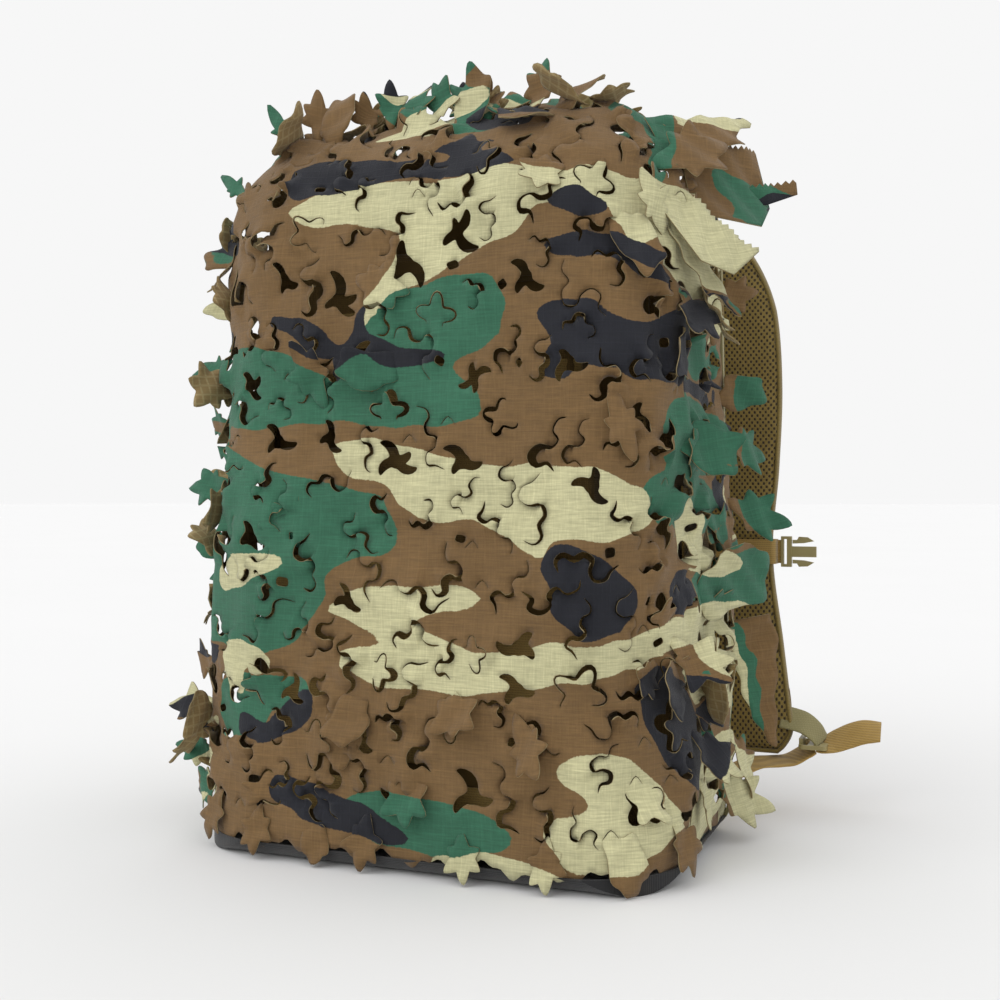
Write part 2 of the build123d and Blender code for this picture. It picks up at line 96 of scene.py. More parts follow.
def set_uv(mesh, flat):
    """Stores the flat cloth position of each point, in metres, as the UV map."""
    layer = mesh.uv_layers.new(name="flat")
    loops = np.zeros(len(mesh.loops), np.int32)
    mesh.loops.foreach_get("vertex_index", loops)
    layer.data.foreach_set("uv", np.asarray(flat, np.float32)[loops].ravel())


def thicken(obj, thickness, offset=-1.0, back=0, rim=0):
    """Gives a sheet its thickness; back and rim are material steps for its reverse and its cut edge."""
    modifier = obj.modifiers.new("thickness", "SOLIDIFY")
    modifier.thickness = thickness
    modifier.offset = offset
    modifier.material_offset = back
    modifier.material_offset_rim = rim
    modifier.use_even_offset = False
    return obj


def stand_for(obj, body, slot, *nodes):
    """The piece rides on a body and stands for these CAD nodes; slot is not used."""
    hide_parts(*nodes)
    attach(obj, body)
    return obj


def catmull(points, per_span=8, closed=False):
    """A smooth curve through points, with per_span steps from each point to the next."""
    points = np.array(points, float)
    if closed:
        before, here = np.roll(points, 1, 0), points
        after, beyond = np.roll(points, -1, 0), np.roll(points, -2, 0)
    else:
        ends = np.vstack([2 * points[0] - points[1], points, 2 * points[-1] - points[-2]])
        before, here, after, beyond = ends[:-3], ends[1:-2], ends[2:-1], ends[3:]
    square, cube = 2 * before - 5 * here + 4 * after - beyond, 3 * here - before - 3 * after + beyond
    shares = np.arange(per_span) / per_span
    steps = [0.5 * (2 * here + (after - before) * u + square * u**2 + cube * u**3) for u in shares]
    curve = np.stack(steps, 1).reshape(-1, points.shape[1])
    return curve if closed else np.vstack([curve, points[-1:]])


def even(curve, count):
    """The curve again with count evenly spaced points."""
    run = np.concatenate([[0], np.cumsum(np.linalg.norm(np.diff(curve, axis=0), axis=1))])
    at = np.linspace(0, run[-1], count)
    return np.stack([np.interp(at, run, curve[:, k]) for k in range(curve.shape[1])], 1)


# ---- shader helper ----
class Shader:
    """A material with short calls for the nodes it needs."""

    def __init__(self, name, roughness=0.8, sheen=0.0, metallic=0.0, specular=0.35):
        self.material = bpy.data.materials.new(name)
        self.material.use_nodes = True
        self.nodes = self.material.node_tree.nodes
        self.links = self.material.node_tree.links
        self.out = self.nodes["Principled BSDF"]
        self.out.inputs["Roughness"].default_value = roughness
        self.out.inputs["Metallic"].default_value = metallic
        self.out.inputs["Sheen Weight"].default_value = sheen
        self.out.inputs["Specular IOR Level"].default_value = specular

    def link(self, source, target):
        """Feeds a socket from a node's output or a plain value."""
        if hasattr(source, "is_output"):
            self.links.new(source, target)
        else:
            target.default_value = source

    def node(self, kind, **settings):
        """A new node with its settings."""
        made = self.nodes.new(kind)
        for key, value in settings.items():
            setattr(made, key, value)
        return made

    def math(self, operation, a, b=0.0):
        """One sum on two values."""
        made = self.node("ShaderNodeMath", operation=operation)
        for socket, value in zip(made.inputs, (a, b)):
            self.link(value, socket)
        return made.outputs[0]

    def attribute(self, name):
        """A number stored on the mesh's points."""
        return self.node("ShaderNodeAttribute", attribute_name=name).outputs["Fac"]

    def place(self, kind="Object"):
        """The piece's own coordinates, or its UV map."""
        return self.node("ShaderNodeTexCoord").outputs[kind]

    def scaled(self, vector, x, y, z=1.0):
        """The vector stretched along each axis."""
        made = self.node("ShaderNodeMapping")
        made.inputs["Scale"].default_value = (x, y, z)
        self.link(vector, made.inputs["Vector"])
        return made.outputs[0]

    def noise(self, vector, scale, detail=3.0):
        """Soft noise, about 0.3 to 0.7."""
        made = self.node("ShaderNodeTexNoise")
        made.inputs["Scale"].default_value = scale
        made.inputs["Detail"].default_value = detail
        made.inputs["Roughness"].default_value = 0.55
        self.link(vector, made.inputs["Vector"])
        return made.outputs["Fac"]

    def ridges(self, vector, pitch, direction="X", distortion=0.0):
        """Even ridges, 0 to 1, with one every pitch metres."""
        made = self.node("ShaderNodeTexWave", wave_type="BANDS", bands_direction=direction)
        made.inputs["Scale"].default_value = pi / 10 / pitch
        made.inputs["Distortion"].default_value = distortion
        self.link(vector, made.inputs["Vector"])
        return made.outputs["Fac"]

    def ramp(self, value, low, high, a=0.0, b=1.0):
        """The value taken from low..high to a..b, held at both ends."""
        made = self.node("ShaderNodeMapRange")
        for key, number in (("From Min", low), ("From Max", high), ("To Min", a), ("To Max", b)):
            made.inputs[key].default_value = number
        self.link(value, made.inputs["Value"])
        return made.outputs[0]

    def mix(self, share, a, b, blend="MIX"):
        """Colour a with a share of colour b."""
        made = self.node("ShaderNodeMix", data_type="RGBA", blend_type=blend)
        self.link(share, made.inputs[0])
        for value, socket in ((a, made.inputs[6]), (b, made.inputs[7])):
            self.link((*value, 1) if isinstance(value, tuple) else value, socket)
        return made.outputs[2]

    def finish(self, colour, height, depth=0.0005, strength=0.6, roughness=None):
        """Wires the colour, the bump and the roughness, and returns the material."""
        self.link((*colour, 1) if isinstance(colour, tuple) else colour, self.out.inputs["Base Color"])
        if roughness is not None:
            self.link(roughness, self.out.inputs["Roughness"])
        bump = self.node("ShaderNodeBump")
        bump.inputs["Strength"].default_value = strength
        bump.inputs["Distance"].default_value = depth
        self.link(height, bump.inputs["Height"])
        self.links.new(bump.outputs[0], self.out.inputs["Normal"])
        return self.material


def srgb(r, g, b):
    """A matched 0-255 colour as linear light."""
    return tuple(((v / 255 + 0.055) / 1.055) ** 2.4 if v > 10 else v / 255 / 12.92 for v in (r, g, b))


# ---- materials ----
BROWN = srgb(114, 89, 57)
GREEN = srgb(54, 102, 79)
SAND = srgb(190, 186, 146)
DARK = srgb(34, 35, 41)
REVERSE = srgb(150, 128, 88)
COYOTE = srgb(106, 84, 42)


def ripstop_grid(s, flat, low, high):
    """The ripstop's raised lines, both ways; low and high set how thin they are."""
    return s.math("MAXIMUM", *(s.ramp(s.ridges(flat, RIPSTOP, way), low, high) for way in ("X", "Y")))


def cloth_slub(s, flat):
    """Uneven threads across the cloth."""
    return s.noise(s.scaled(flat, 60, 900), 1.0)


def darker(colour, share):
    """A share of a colour."""
    return tuple(v * share for v in colour)


def camouflage_cloth():
    """Printed ripstop: colour patches from the cloth's attributes, with slubs, a fine grid and a weave."""
    s = Shader("camouflage_cloth", roughness=0.82, sheen=0.1, specular=0.22)
    flat = s.place("UV")
    rough_edge = s.math("MULTIPLY", s.math("SUBTRACT", s.noise(flat, 420, 2), 0.5), 1.6)
    slub = cloth_slub(s, flat)
    warp = s.noise(s.scaled(flat, 900, 70), 1.0, 2)
    colour = BROWN
    for name, tint in (("green", GREEN), ("sand", SAND), ("dark", DARK)):
        inside = s.ramp(s.math("ADD", s.attribute(name), rough_edge), -0.25, 0.25)
        colour = s.mix(inside, colour, tint)
    shade = s.ramp(slub, 0.3, 0.7, 0.82, 1.16)
    fade = s.ramp(s.noise(flat, 9, 2), 0.3, 0.7, 0.9, 1.1)
    tone = s.math("MULTIPLY", s.math("MULTIPLY", shade, fade), s.ramp(warp, 0.3, 0.7, 0.92, 1.08))
    grid = ripstop_grid(s, flat, 0.9, 1.0)
    tone = s.math("MULTIPLY", tone, s.ramp(grid, 0, 1, 1.0, 1.07))
    grey = s.node("ShaderNodeCombineColor")
    for socket in grey.inputs[:3]:
        s.link(tone, socket)
    colour = s.mix(1.0, colour, grey.outputs[0], "MULTIPLY")
    weave = s.math("MULTIPLY", s.ridges(flat, 0.0007, "X"), s.ridges(flat, 0.0007, "Y"))
    height = s.math("ADD", s.math("ADD", slub, weave), s.math("MULTIPLY", grid, 0.8))
    return s.finish(colour, height, 0.00025, 0.5, s.ramp(slub, 0.3, 0.7, 0.72, 0.9))


def reverse_cloth():
    """The unprinted reverse: tan with a pale ripstop grid."""
    s = Shader("reverse_cloth", roughness=0.85, sheen=0.1, specular=0.22)
    flat = s.place("UV")
    grid = ripstop_grid(s, flat, 0.8, 0.98)
    slub = cloth_slub(s, flat)
    colour = s.mix(s.math("MULTIPLY", grid, 0.45), REVERSE, srgb(190, 175, 132))
    colour = s.mix(s.ramp(slub, 0.35, 0.65, 0, 0.4), colour, srgb(116, 96, 60))
    return s.finish(colour, s.math("ADD", grid, slub), 0.0002, 0.5)


def cut_edge():
    """The pale fused edge that the laser leaves."""
    s = Shader("cut_edge", roughness=0.6, specular=0.3)
    tone = s.noise(s.place("UV"), 300, 2)
    return s.finish(s.mix(tone, srgb(98, 82, 54), srgb(158, 142, 104)), tone, 0.0001, 0.3)


def woven(name, colour, light, pitch):
    """Plain woven cloth on any face: threads crossing at a pitch, with painted shade in the gaps between
    them, and faded and darker patches.
    """
    s = Shader(name, roughness=0.85, sheen=0.15, specular=0.25)
    place = s.place()
    both = s.math("MULTIPLY", s.ridges(place, pitch, "X"), s.ridges(place, pitch, "Y"))
    threads = s.math("POWER", s.math("MULTIPLY", both, s.ridges(place, pitch, "Z")), 0.5)
    patches = s.noise(place, 26, 4)
    tint = s.mix(s.ramp(patches, 0.35, 0.65, 0, 0.25), colour, light)
    # painted shade: the colour darkens in the hollows between the threads, where the bump already sinks them
    tint = s.mix(s.ramp(threads, 0.1, 0.75, 0.55, 0), tint, darker(colour, 0.55))
    return s.finish(tint, threads, 0.0004, 0.6, s.ramp(patches, 0.3, 0.7, 0.77, 0.93))


def ribbed(name, colour, light, pitch=0.0016):
    """Webbing: ribs across the band with painted shade between them, finer threads along it, and paler worn
    patches.
    """
    s = Shader(name, roughness=0.72, sheen=0.2, specular=0.3)
    place = s.place()
    twill = s.math("MULTIPLY", s.ridges(place, pitch * 0.6, "DIAGONAL"), 0.6)
    ribs = s.math("MAXIMUM", s.ridges(place, pitch, "Z", 0.3), twill)
    thread = s.noise(place, 1400, 2)
    patches = s.noise(place, 40, 3)
    tint = s.mix(s.ramp(patches, 0.35, 0.65, 0, 0.4), colour, light)
    # painted shade: the colour darkens in the grooves between the ribs
    tint = s.mix(s.ramp(ribs, 0.2, 0.8, 0.5, 0), tint, darker(colour, 0.5))
    return s.finish(tint, s.math("ADD", ribs, s.math("MULTIPLY", thread, 0.5)), 0.0004, 0.6)


def spacer_mesh():
    """Padded open mesh: staggered diamond holes, darkened inside by painted shade, with glossy thread between
    them.
    """
    s = Shader("spacer_mesh", roughness=0.7, sheen=0.2, specular=0.35)
    hole_across, hole_up, slope = 0.0044, 0.0058, -0.6
    place = s.node("ShaderNodeSeparateXYZ")
    s.link(s.place(), place.inputs[0])
    across = s.math("MULTIPLY", place.outputs["X"], 2 * pi / hole_across)
    height_up = s.math("ADD", place.outputs["Z"], s.math("MULTIPLY", place.outputs["Y"], slope))
    up = s.math("MULTIPLY", height_up, 2 * pi / hole_up)
    inside = s.ramp(s.math("MULTIPLY", s.math("COSINE", across), s.math("COSINE", up)), 0.12, 0.46)
    fuzz = s.noise(s.place(), 700, 2)
    faded = s.ramp(s.noise(s.place(), 30, 3), 0.35, 0.65, 0, 0.5)
    tint = s.mix(faded, srgb(126, 106, 50), srgb(148, 126, 66))
    # painted shade: the holes take a near-black brown where the real mesh only lies in shadow
    tint = s.mix(s.math("MULTIPLY", inside, 0.92), tint, srgb(44, 32, 10))
    height = s.math("ADD", s.math("MULTIPLY", inside, -1.4), s.math("MULTIPLY", fuzz, 0.3))
    return s.finish(tint, height, 0.0011, 0.8)


def plastic(name, colour, light, roughness=0.42):
    """Moulded plastic: fine spark texture, faint flow marks and rubbed high spots."""
    s = Shader(name, roughness=roughness, specular=0.45)
    place = s.place()
    grain = s.noise(place, 1500, 2)
    flow = s.noise(s.scaled(place, 40, 12, 60), 1.0, 3)
    tint = s.mix(s.ramp(flow, 0.3, 0.7, 0, 0.5), colour, light)
    return s.finish(tint, grain, 0.00012, 0.35, s.ramp(flow, 0.3, 0.7, roughness - 0.07, roughness + 0.1))


def zip_coil(name, colour):
    """A coiled zip or its metal slider: tight ridges along it with painted shade between them, and scuffs."""
    s = Shader(name, roughness=0.5, metallic=0.25, specular=0.5)
    place = s.place()
    pitch = 0.0021
    crosswise = s.math("MULTIPLY", s.ridges(place, pitch, "X"), 0.8)
    teeth = s.math("MAXIMUM", s.ridges(place, pitch, "Z"), crosswise)
    # painted shade: the gaps between the teeth are nearly black, the crests take the full colour
    tint = s.mix(s.ramp(teeth, 0.2, 0.8), darker(colour, 0.35), colour)
    return s.finish(tint, teeth, 0.0006, 0.6, s.ramp(s.noise(place, 200), 0.3, 0.7, 0.4, 0.65))


def base_cloth():
    """Black coated cloth of the base band, with a slight sheen and scuffed dust."""
    s = Shader("black_cloth", roughness=0.6, sheen=0.2, specular=0.35)
    place = s.place()
    threads = s.math("MULTIPLY", s.ridges(place, 0.0011, "X"), s.ridges(place, 0.0011, "Y"))
    dust = s.ramp(s.noise(place, 30, 5), 0.5, 0.8, 0, 0.35)
    tint = s.mix(dust, srgb(22, 22, 24), srgb(70, 66, 58))
    return s.finish(tint, threads, 0.0003, 0.5)


# ---- soft shells wrapped over a rounded form ----
class Form:
    """A hood-shaped form: a front face whose sides, top and base turn back round an edge radius."""

    def __init__(self, half, base, top, front, rear, edge, corner, base_corner=None,
                 lean=0.0, taper=0.0, tuck=0.0):
        self.half, self.base, self.top = half, base, top
        self.front, self.rear, self.edge, self.corner = front, rear, edge, corner
        self.base_corner = base_corner
        self.lean, self.taper, self.tuck = lean, taper, tuck
        self.depth = rear - front

    def outward(self, p, q):
        """Distance past the front face's outline, and its direction, at flat points."""
        middle = (self.base + self.top) / 2
        if self.base_corner is None:
            radius, up = np.full(np.shape(q), self.corner), np.ones(np.shape(q))
            dz = q - (self.top - radius)
        else:
            up = np.where(q >= middle, 1.0, -1.0)
            radius = np.where(q >= middle, self.corner, self.base_corner)
            dz = np.abs(q - middle) - ((self.top - self.base) / 2 - radius)
        dx = np.abs(p) - (self.half - radius)
        ox, oz = np.maximum(dx, 0), np.maximum(dz, 0)
        far = np.hypot(ox, oz)
        t = far + np.minimum(np.maximum(dx, dz), 0) - radius
        nx = np.where(far > TINY, ox / np.maximum(far, TINY), np.where(dx >= dz, 1.0, 0.0)) * np.sign(p)
        nz = np.where(far > TINY, oz / np.maximum(far, TINY), np.where(dx >= dz, 0.0, 1.0)) * up
        return t, nx, nz

    def place(self, p, q):
        """Maps flat cloth (p across, q up) onto the form."""
        p, q = np.asarray(p, float), np.asarray(q, float)
        t, nx, nz = self.outward(p, q)
        r = self.edge
        angle = np.clip((t + r) / (2 * r), 0, 1) * pi / 2
        inset = np.where(t < -r, -t, r * (1 - np.sin(angle)))
        back = np.where(t < -r, 0, np.where(t > r, t, r * (1 - np.cos(angle))))
        x, z = p - nx * (t + inset), q - nz * (t + inset)
        x = x * (1 - self.taper * z / self.top)
        front = self.front + self.lean * z / self.top
        y = front + back * (self.rear - front) / self.depth
        if self.tuck:
            low = np.clip(self.tuck - z, 0, self.tuck)
            pull = 0.5 * (self.tuck - np.sqrt(self.tuck**2 - low**2))
            x, y = x - np.sign(p) * pull * (t > 0), y + pull * (t <= 0)
        return np.stack([x, y, z], -1)

    def frame(self, p, q):
        """Place, across, up and outward directions, with the two flat-to-surface stretches."""
        step = 0.0004
        place = self.place(p, q)
        dp = (self.place(p + step, q) - self.place(p - step, q)) / (2 * step)
        dq = (self.place(p, q + step) - self.place(p, q - step)) / (2 * step)
        out = np.cross(dp, dq)
        out /= np.maximum(np.linalg.norm(out, axis=-1, keepdims=True), TINY)
        across = dp / np.maximum(np.linalg.norm(dp, axis=-1, keepdims=True), TINY)
        return place, across, np.cross(out, across), out, dp, dq

    def border(self, step, base=None):
        """The flat cloth's outer edge, counterclockwise from the lower left."""
        reach, depth, height = self.half + self.depth, self.depth, self.top + self.depth
        route = []

        def arc(cx, cz, radius, start):
            """A quarter turn."""
            count = max(4, int(radius * pi / 2 / step))
            for k in range(count):
                a = start + pi / 2 * k / count
                route.append((cx + radius * cos(a), cz + radius * sin(a)))

        low = base if self.base_corner is None else self.base - depth
        near = 0.0 if self.base_corner is None else self.base_corner + depth
        route += [(x, low) for x in np.arange(-reach + near, reach - near, step)]
        if self.base_corner is not None:
            arc(reach - near, low + near, near, -pi / 2)
        far = self.corner + depth
        route += [(reach, z) for z in np.arange(low + near, height - far, step)]
        arc(reach - far, height - far, far, 0)
        route += [(x, height) for x in np.arange(reach - far, far - reach, -step)]
        arc(far - reach, height - far, far, pi / 2)
        route += [(-reach, z) for z in np.arange(height - far, low + near, -step)]
        if self.base_corner is not None:
            arc(near - reach, low + near, near, pi)
        return np.array(route)


def counterclockwise(loop):
    """The loop, turned round if it runs clockwise."""
    after = np.roll(loop, -1, 0)
    turning = np.sum(loop[:, 0] * after[:, 1] - loop[:, 1] * after[:, 0])
    return loop if turning > 0 else loop[::-1]


def search_tree(points):
    """A tree that finds the nearest of some points."""
    tree = kdtree.KDTree(len(points))
    for number, point in enumerate(points):
        tree.insert(point, number)
    tree.balance()
    return tree


def cut_cloth(border, holes, fill, keep_off=0.0021):
    """Triangulates a flat sheet with holes; returns flat points and faces."""
    fixed = [counterclockwise(loop) for loop in [border, *holes]]
    tree = search_tree([(p, q, 0) for loop in fixed for p, q in loop])
    free = [(p, q) for p, q in fill if tree.find((p, q, 0))[2] > keep_off]
    coords = [Vector((p, q)) for loop in fixed for p, q in loop] + [Vector(point) for point in free]
    loops, start = [], 0
    for loop in fixed:
        loops.append(list(range(start, start + len(loop))))
        start += len(loop)
    found = geometry.delaunay_2d_cdt(coords, [], loops, 1, 1e-7)
    points, faces, sources = found[0], found[2], found[5]
    kept = [face for face, source in zip(faces, sources) if source and all(k == 0 for k in source)]
    used = sorted({v for face in kept for v in face})
    index = {v: k for k, v in enumerate(used)}
    return np.array([points[v] for v in used]), [[index[v] for v in face] for face in kept]


def hex_grid(low, high, step):
    """Evenly staggered points over a flat rectangle."""
    points = []
    for k, q in enumerate(np.arange(low[1], high[1], step * 0.866)):
        points += [(p, q) for p in np.arange(low[0] + (k % 2) * step / 2, high[0], step)]
    return np.array(points)


def soft_skin(name, form, step, wave, material):
    """A sewn panel of cloth over a form, slack by up to wave."""
    border = form.border(step)
    fill = hex_grid(border.min(0), border.max(0), step)
    fill = fill[form.outward(fill[:, 0], fill[:, 1])[0] < form.depth - step * 0.6]
    flat, faces = cut_cloth(border, [], fill, step * 0.45)
    place, _, _, out, _, _ = form.frame(flat[:, 0], flat[:, 1])
    slack = [noise.noise(Vector(v) * 17) * 0.7 + noise.noise(Vector(v) * 43) * 0.3 for v in place]
    place = place + out * (wave * (np.array(slack) - 0.8))[:, None]
    mesh = mesh_from(name, place, faces)
    set_uv(mesh, flat)
    return thicken(add_object(name, mesh, [material]), SKIN_THICK)


# ---- the cover's form, read from the frame ----
cloth_low, cloth_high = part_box("cover_leaf_cloth")
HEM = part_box("cover_hem_binding")[1].y - 0.006
COVER = Form(half=cloth_high.x, base=0.0, top=cloth_high.z, front=cloth_low.y, rear=HEM, edge=0.080,
             corner=0.080, lean=0.020, taper=0.05, tuck=0.022)
REACH = COVER.half + COVER.depth
HEIGHT = COVER.top + COVER.depth


def crumple(points, p):
    """How far the cloth stands out of its form: slack waves on the front, deeper folds on the sides."""
    values = []
    for (x, y, z), side in zip(points, np.clip((np.abs(p) / COVER.half - 0.8) * 4, 0, 1)):
        broad = noise.noise(Vector((x * 9, y * 9 + 3, z * 7)))
        fold = noise.noise(Vector((x * 26 + 5, y * 26, z * 17)))
        crease = 1 - abs(noise.noise(Vector((x * 15, y * 19 + 7, z * 13 + 2)))) * 2.4
        values.append((0.0040 * broad + 0.0018 * fold + 0.0018 * crease) * (1 + 0.9 * side))
    return np.array(values) - 0.0012


# ---- camouflage print ----
# Patch outlines in millimetres on the flat cloth: p across from the middle, q up from the base.
GREEN_PATCHES = [
    [(4, 391), (26, 398), (60, 394), (70, 372), (62, 352), (32, 338), (50, 322), (52, 302), (-3, 298),
     (-79, 303),
     (-165, 300), (-300, 322), (-300, 352), (-165, 358), (-98, 352), (-60, 334), (-46, 360), (-20, 384)],
    [(-300, 300), (-170, 286), (-112, 271), (-40, 257), (-14, 243), (-8, 219), (-33, 209), (-55, 204),
     (-64, 181),
     (-82, 154), (-119, 141), (-170, 146), (-300, 176)],
    [(-165, 122), (-112, 127), (-76, 128), (-74, 110), (-103, 103), (-120, 86), (-165, 84)],
    [(-55, 40), (-18, 55), (33, 53), (70, 46), (78, 28), (33, 16), (-10, 20), (-42, 30)],
    [(205, 300), (238, 320), (285, 314), (335, 300), (372, 285), (330, 266), (270, 268), (222, 262)],
    [(184, 258), (230, 270), (300, 262), (345, 246), (300, 226), (240, 230), (196, 236)],
    [(150, 566), (196, 566), (214, 540), (214, 500), (206, 462), (192, 462), (196, 505), (184, 536),
     (150, 548)],
    [(384, 350), (440, 350), (440, 214), (400, 204), (376, 236), (384, 290)],
    [(362, 152), (374, 160), (382, 140), (384, 96), (374, 64), (362, 90), (356, 124)],
    [(270, 196), (330, 214), (380, 222), (384, 176), (330, 160), (276, 168)],
]
SAND_PATCHES = [
    [(-97, 456), (-40, 472), (26, 470), (68, 477), (102, 468), (150, 468), (182, 452), (150, 436),
     (99, 441),
     (82, 428), (54, 413), (26, 402), (-3, 390), (-24, 374), (-44, 360), (-31, 385), (-14, 408), (-8, 428),
     (-40, 438), (-82, 438)],
    [(150, 456), (188, 462), (232, 456), (266, 424), (282, 392), (262, 376), (228, 388), (206, 402),
     (192, 416),
     (176, 408), (160, 426)],
    [(-56, 286), (-25, 291), (12, 280), (47, 275), (82, 271), (135, 270), (168, 262), (194, 249),
     (181, 230),
     (145, 223), (110, 220), (94, 212), (68, 229), (47, 237), (19, 235), (-4, 245), (-16, 257), (-50, 268)],
    [(-180, 198), (-150, 212), (-102, 211), (-95, 203), (-120, 196), (-140, 188), (-172, 184)],
    [(-166, 146), (-130, 150), (-104, 139), (-110, 127), (-128, 131), (-136, 114), (-154, 118)],
    [(-60, 178), (-25, 191), (19, 194), (56, 188), (47, 176), (14, 172), (26, 158), (68, 152), (110, 157),
     (165, 160), (240, 172), (262, 156), (181, 142), (110, 132), (68, 125), (19, 124), (-33, 130),
     (-46, 147),
     (-16, 154), (-38, 166)],
    [(110, 78), (145, 90), (181, 80), (206, 60), (224, 40), (190, 26), (165, 12), (118, 20), (104, 44),
     (140, 56)],
    [(24, 14), (54, 22), (90, 20), (120, 12), (110, -4), (40, -4)],
    [(250, 60), (290, 70), (330, 40), (300, 10), (255, 5), (236, 30)],
    [(236, 240), (270, 250), (290, 222), (330, 205), (300, 196), (250, 212)],
    [(300, 420), (330, 430), (350, 395), (330, 360), (308, 380)],
    [(340, 72), (360, 64), (384, 56), (420, 50), (420, 6), (352, 4)],
    [(240, 168), (300, 178), (352, 170), (374, 130), (370, 84), (352, 100), (318, 118), (280, 112),
     (256, 122)],
]
DARK_PATCHES = [
    [(-106, 478), (-86, 504), (-40, 499), (6, 491), (42, 494), (78, 480), (40, 472), (0, 476), (-50, 468),
     (-92, 464)],
    [(10, 505), (26, 512), (38, 524), (44, 510), (62, 506), (50, 498), (52, 486), (36, 492), (20, 488),
     (24, 498)],
    [(101, 446), (125, 452), (152, 440), (148, 430), (125, 431), (104, 438)],
    [(101, 416), (140, 421), (176, 412), (206, 396), (214, 384), (180, 394), (140, 404), (104, 408)],
    [(97, 372), (124, 379), (150, 371), (176, 362), (206, 368), (238, 380), (254, 350), (240, 328),
     (206, 324),
     (170, 328), (140, 336), (114, 328), (96, 331), (106, 350)],
    [(-112, 378), (-84, 374), (-66, 362), (-50, 358), (-40, 374), (-32, 380), (-32, 364), (-16, 356),
     (24, 345),
     (20, 338), (-12, 340), (-34, 346), (-58, 330), (-58, 344), (-74, 348), (-94, 366), (-114, 370)],
    [(98, 212), (125, 218), (165, 203), (182, 187), (170, 168), (150, 163), (130, 161), (112, 172),
     (106, 190)],
    [(-136, 100), (-110, 96), (-92, 108), (-72, 120), (-68, 104), (-88, 88), (-110, 80), (-134, 86)],
    [(-94, 62), (-60, 54), (-30, 46), (2, 30), (-4, 20), (-40, 27), (-75, 33), (-96, 44)],
    [(182, 130), (210, 140), (242, 128), (264, 110), (282, 84), (255, 60), (224, 70), (204, 86),
     (190, 100)],
    [(300, 330), (322, 345), (345, 310), (352, 270), (338, 240), (318, 262), (322, 300)],
]


def inside_distance(flat, outline):
    """Signed distance to a closed outline, positive inside, for many flat points at once."""
    best = np.full(len(flat), 1e9)
    crossings = np.zeros(len(flat), int)
    x, y = flat[:, 0], flat[:, 1]
    for a, b in zip(outline, np.roll(outline, -1, 0)):
        edge = b - a
        share = np.clip(((x - a[0]) * edge[0] + (y - a[1]) * edge[1]) / max(edge @ edge, 1e-12), 0, 1)
        best = np.minimum(best, np.hypot(x - a[0] - share * edge[0], y - a[1] - share * edge[1]))
        if a[1] != b[1]:
            crossings += ((a[1] > y) != (b[1] > y)) & (x < a[0] + (y - a[1]) * edge[0] / edge[1])
    return np.where(crossings % 2 == 1, best, -best)


def scattered_print(flat, offset, cut):
    """Patches for the parts of the cloth that no outline covers, from stretched noise."""
    values = [noise.noise(Vector((x / 95 + offset, y / 42, offset * 3.1))) + 0.35 * noise.noise(
        Vector((x / 38 - offset, y / 22, 5.0))) for x, y in flat]
    return (np.array(values) - cut) * 60


def print_of(flat):
    """How far inside green, sand and dark each flat point is, in millimetres; brown is what is left."""
    wander = np.array([noise.noise_vector(Vector((x / 21, y / 15, 0.5)))[:2] for x, y in flat]) * (5.0, 3.6)
    flat = flat + wander
    # outer is 0 where the outlines cover the cloth and 1 past them
    outer = np.clip((np.abs(flat[:, 0] + 20) - 235) / 20, 0, 1)
    outer = np.maximum(outer, np.clip((flat[:, 1] - 515) / 15, 0, 1))
    outer = np.maximum(outer, np.clip((-175 - flat[:, 0]) / 10, 0, 1)) * (flat[:, 0] < 356)
    drawn = {}
    for name, patches in (("green", GREEN_PATCHES), ("sand", SAND_PATCHES), ("dark", DARK_PATCHES)):
        distance = np.full(len(flat), -40.0)
        for patch in patches:
            outline = catmull(patch, 4, closed=True)
            near = np.all((flat > outline.min(0) - 40) & (flat < outline.max(0) + 40), axis=1)
            distance[near] = np.maximum(distance[near], inside_distance(flat[near], outline))
        drawn[name] = distance
    taken = np.maximum.reduce(list(drawn.values()))
    found = {}
    for name, offset, cut in (("green", 1.7, 0.16), ("sand", 6.3, 0.22), ("dark", 12.9, 0.27)):
        scattered = np.where(outer > 0, scattered_print(flat, offset, cut) - (1 - outer) * 30, -40.0)
        found[name] = np.maximum(drawn[name], np.minimum(scattered, -2 - taken))
    return found


def print_on(mesh, flat):
    """Stores a cloth mesh's flat places and its print."""
    set_uv(mesh, flat)
    for name, values in print_of(flat / MM).items():
        attribute = mesh.attributes.new(name, "FLOAT", "POINT")
        attribute.data.foreach_set("value", np.asarray(values, np.float32))


# ---- laser cuts ----
# Pen strokes of the cuts, in millimetres round their middles
SLIT_LINES = [
    [(-3, 21), (-6, 15), (-10, 11), (-6, 6), (0, 7), (4, 3), (1, -2), (3, -7), (8, -9), (9, -14), (5, -20)],
    [(6, 19), (4, 13), (8, 8), (5, 3), (-1, 4), (-5, 8), (-10, 5), (-8, -2), (-3, -5), (-4, -12), (0, -17)],
    [(-9, 12), (-4, 16), (1, 13), (0, 7), (4, 3), (9, 4), (11, -1), (7, -6), (1, -5), (-2, -10), (-1, -18)],
    [(0, 16), (-4, 11), (-9, 12), (-11, 7), (-7, 2), (-1, 3), (3, -1), (0, -6), (3, -12), (8, -13)],
    [(-5, 15), (1, 17), (5, 13), (3, 7), (6, 2), (3, -3), (-3, -2), (-8, -5), (-7, -11), (-2, -14), (2, -19)],
    [(-11, 6), (-7, 10), (-2, 7), (3, 9), (7, 5), (5, 0), (8, -5), (5, -10), (-1, -9)],
]
CHEVRON = [(-5, -2.5), (0, 3), (5, -2.5)]
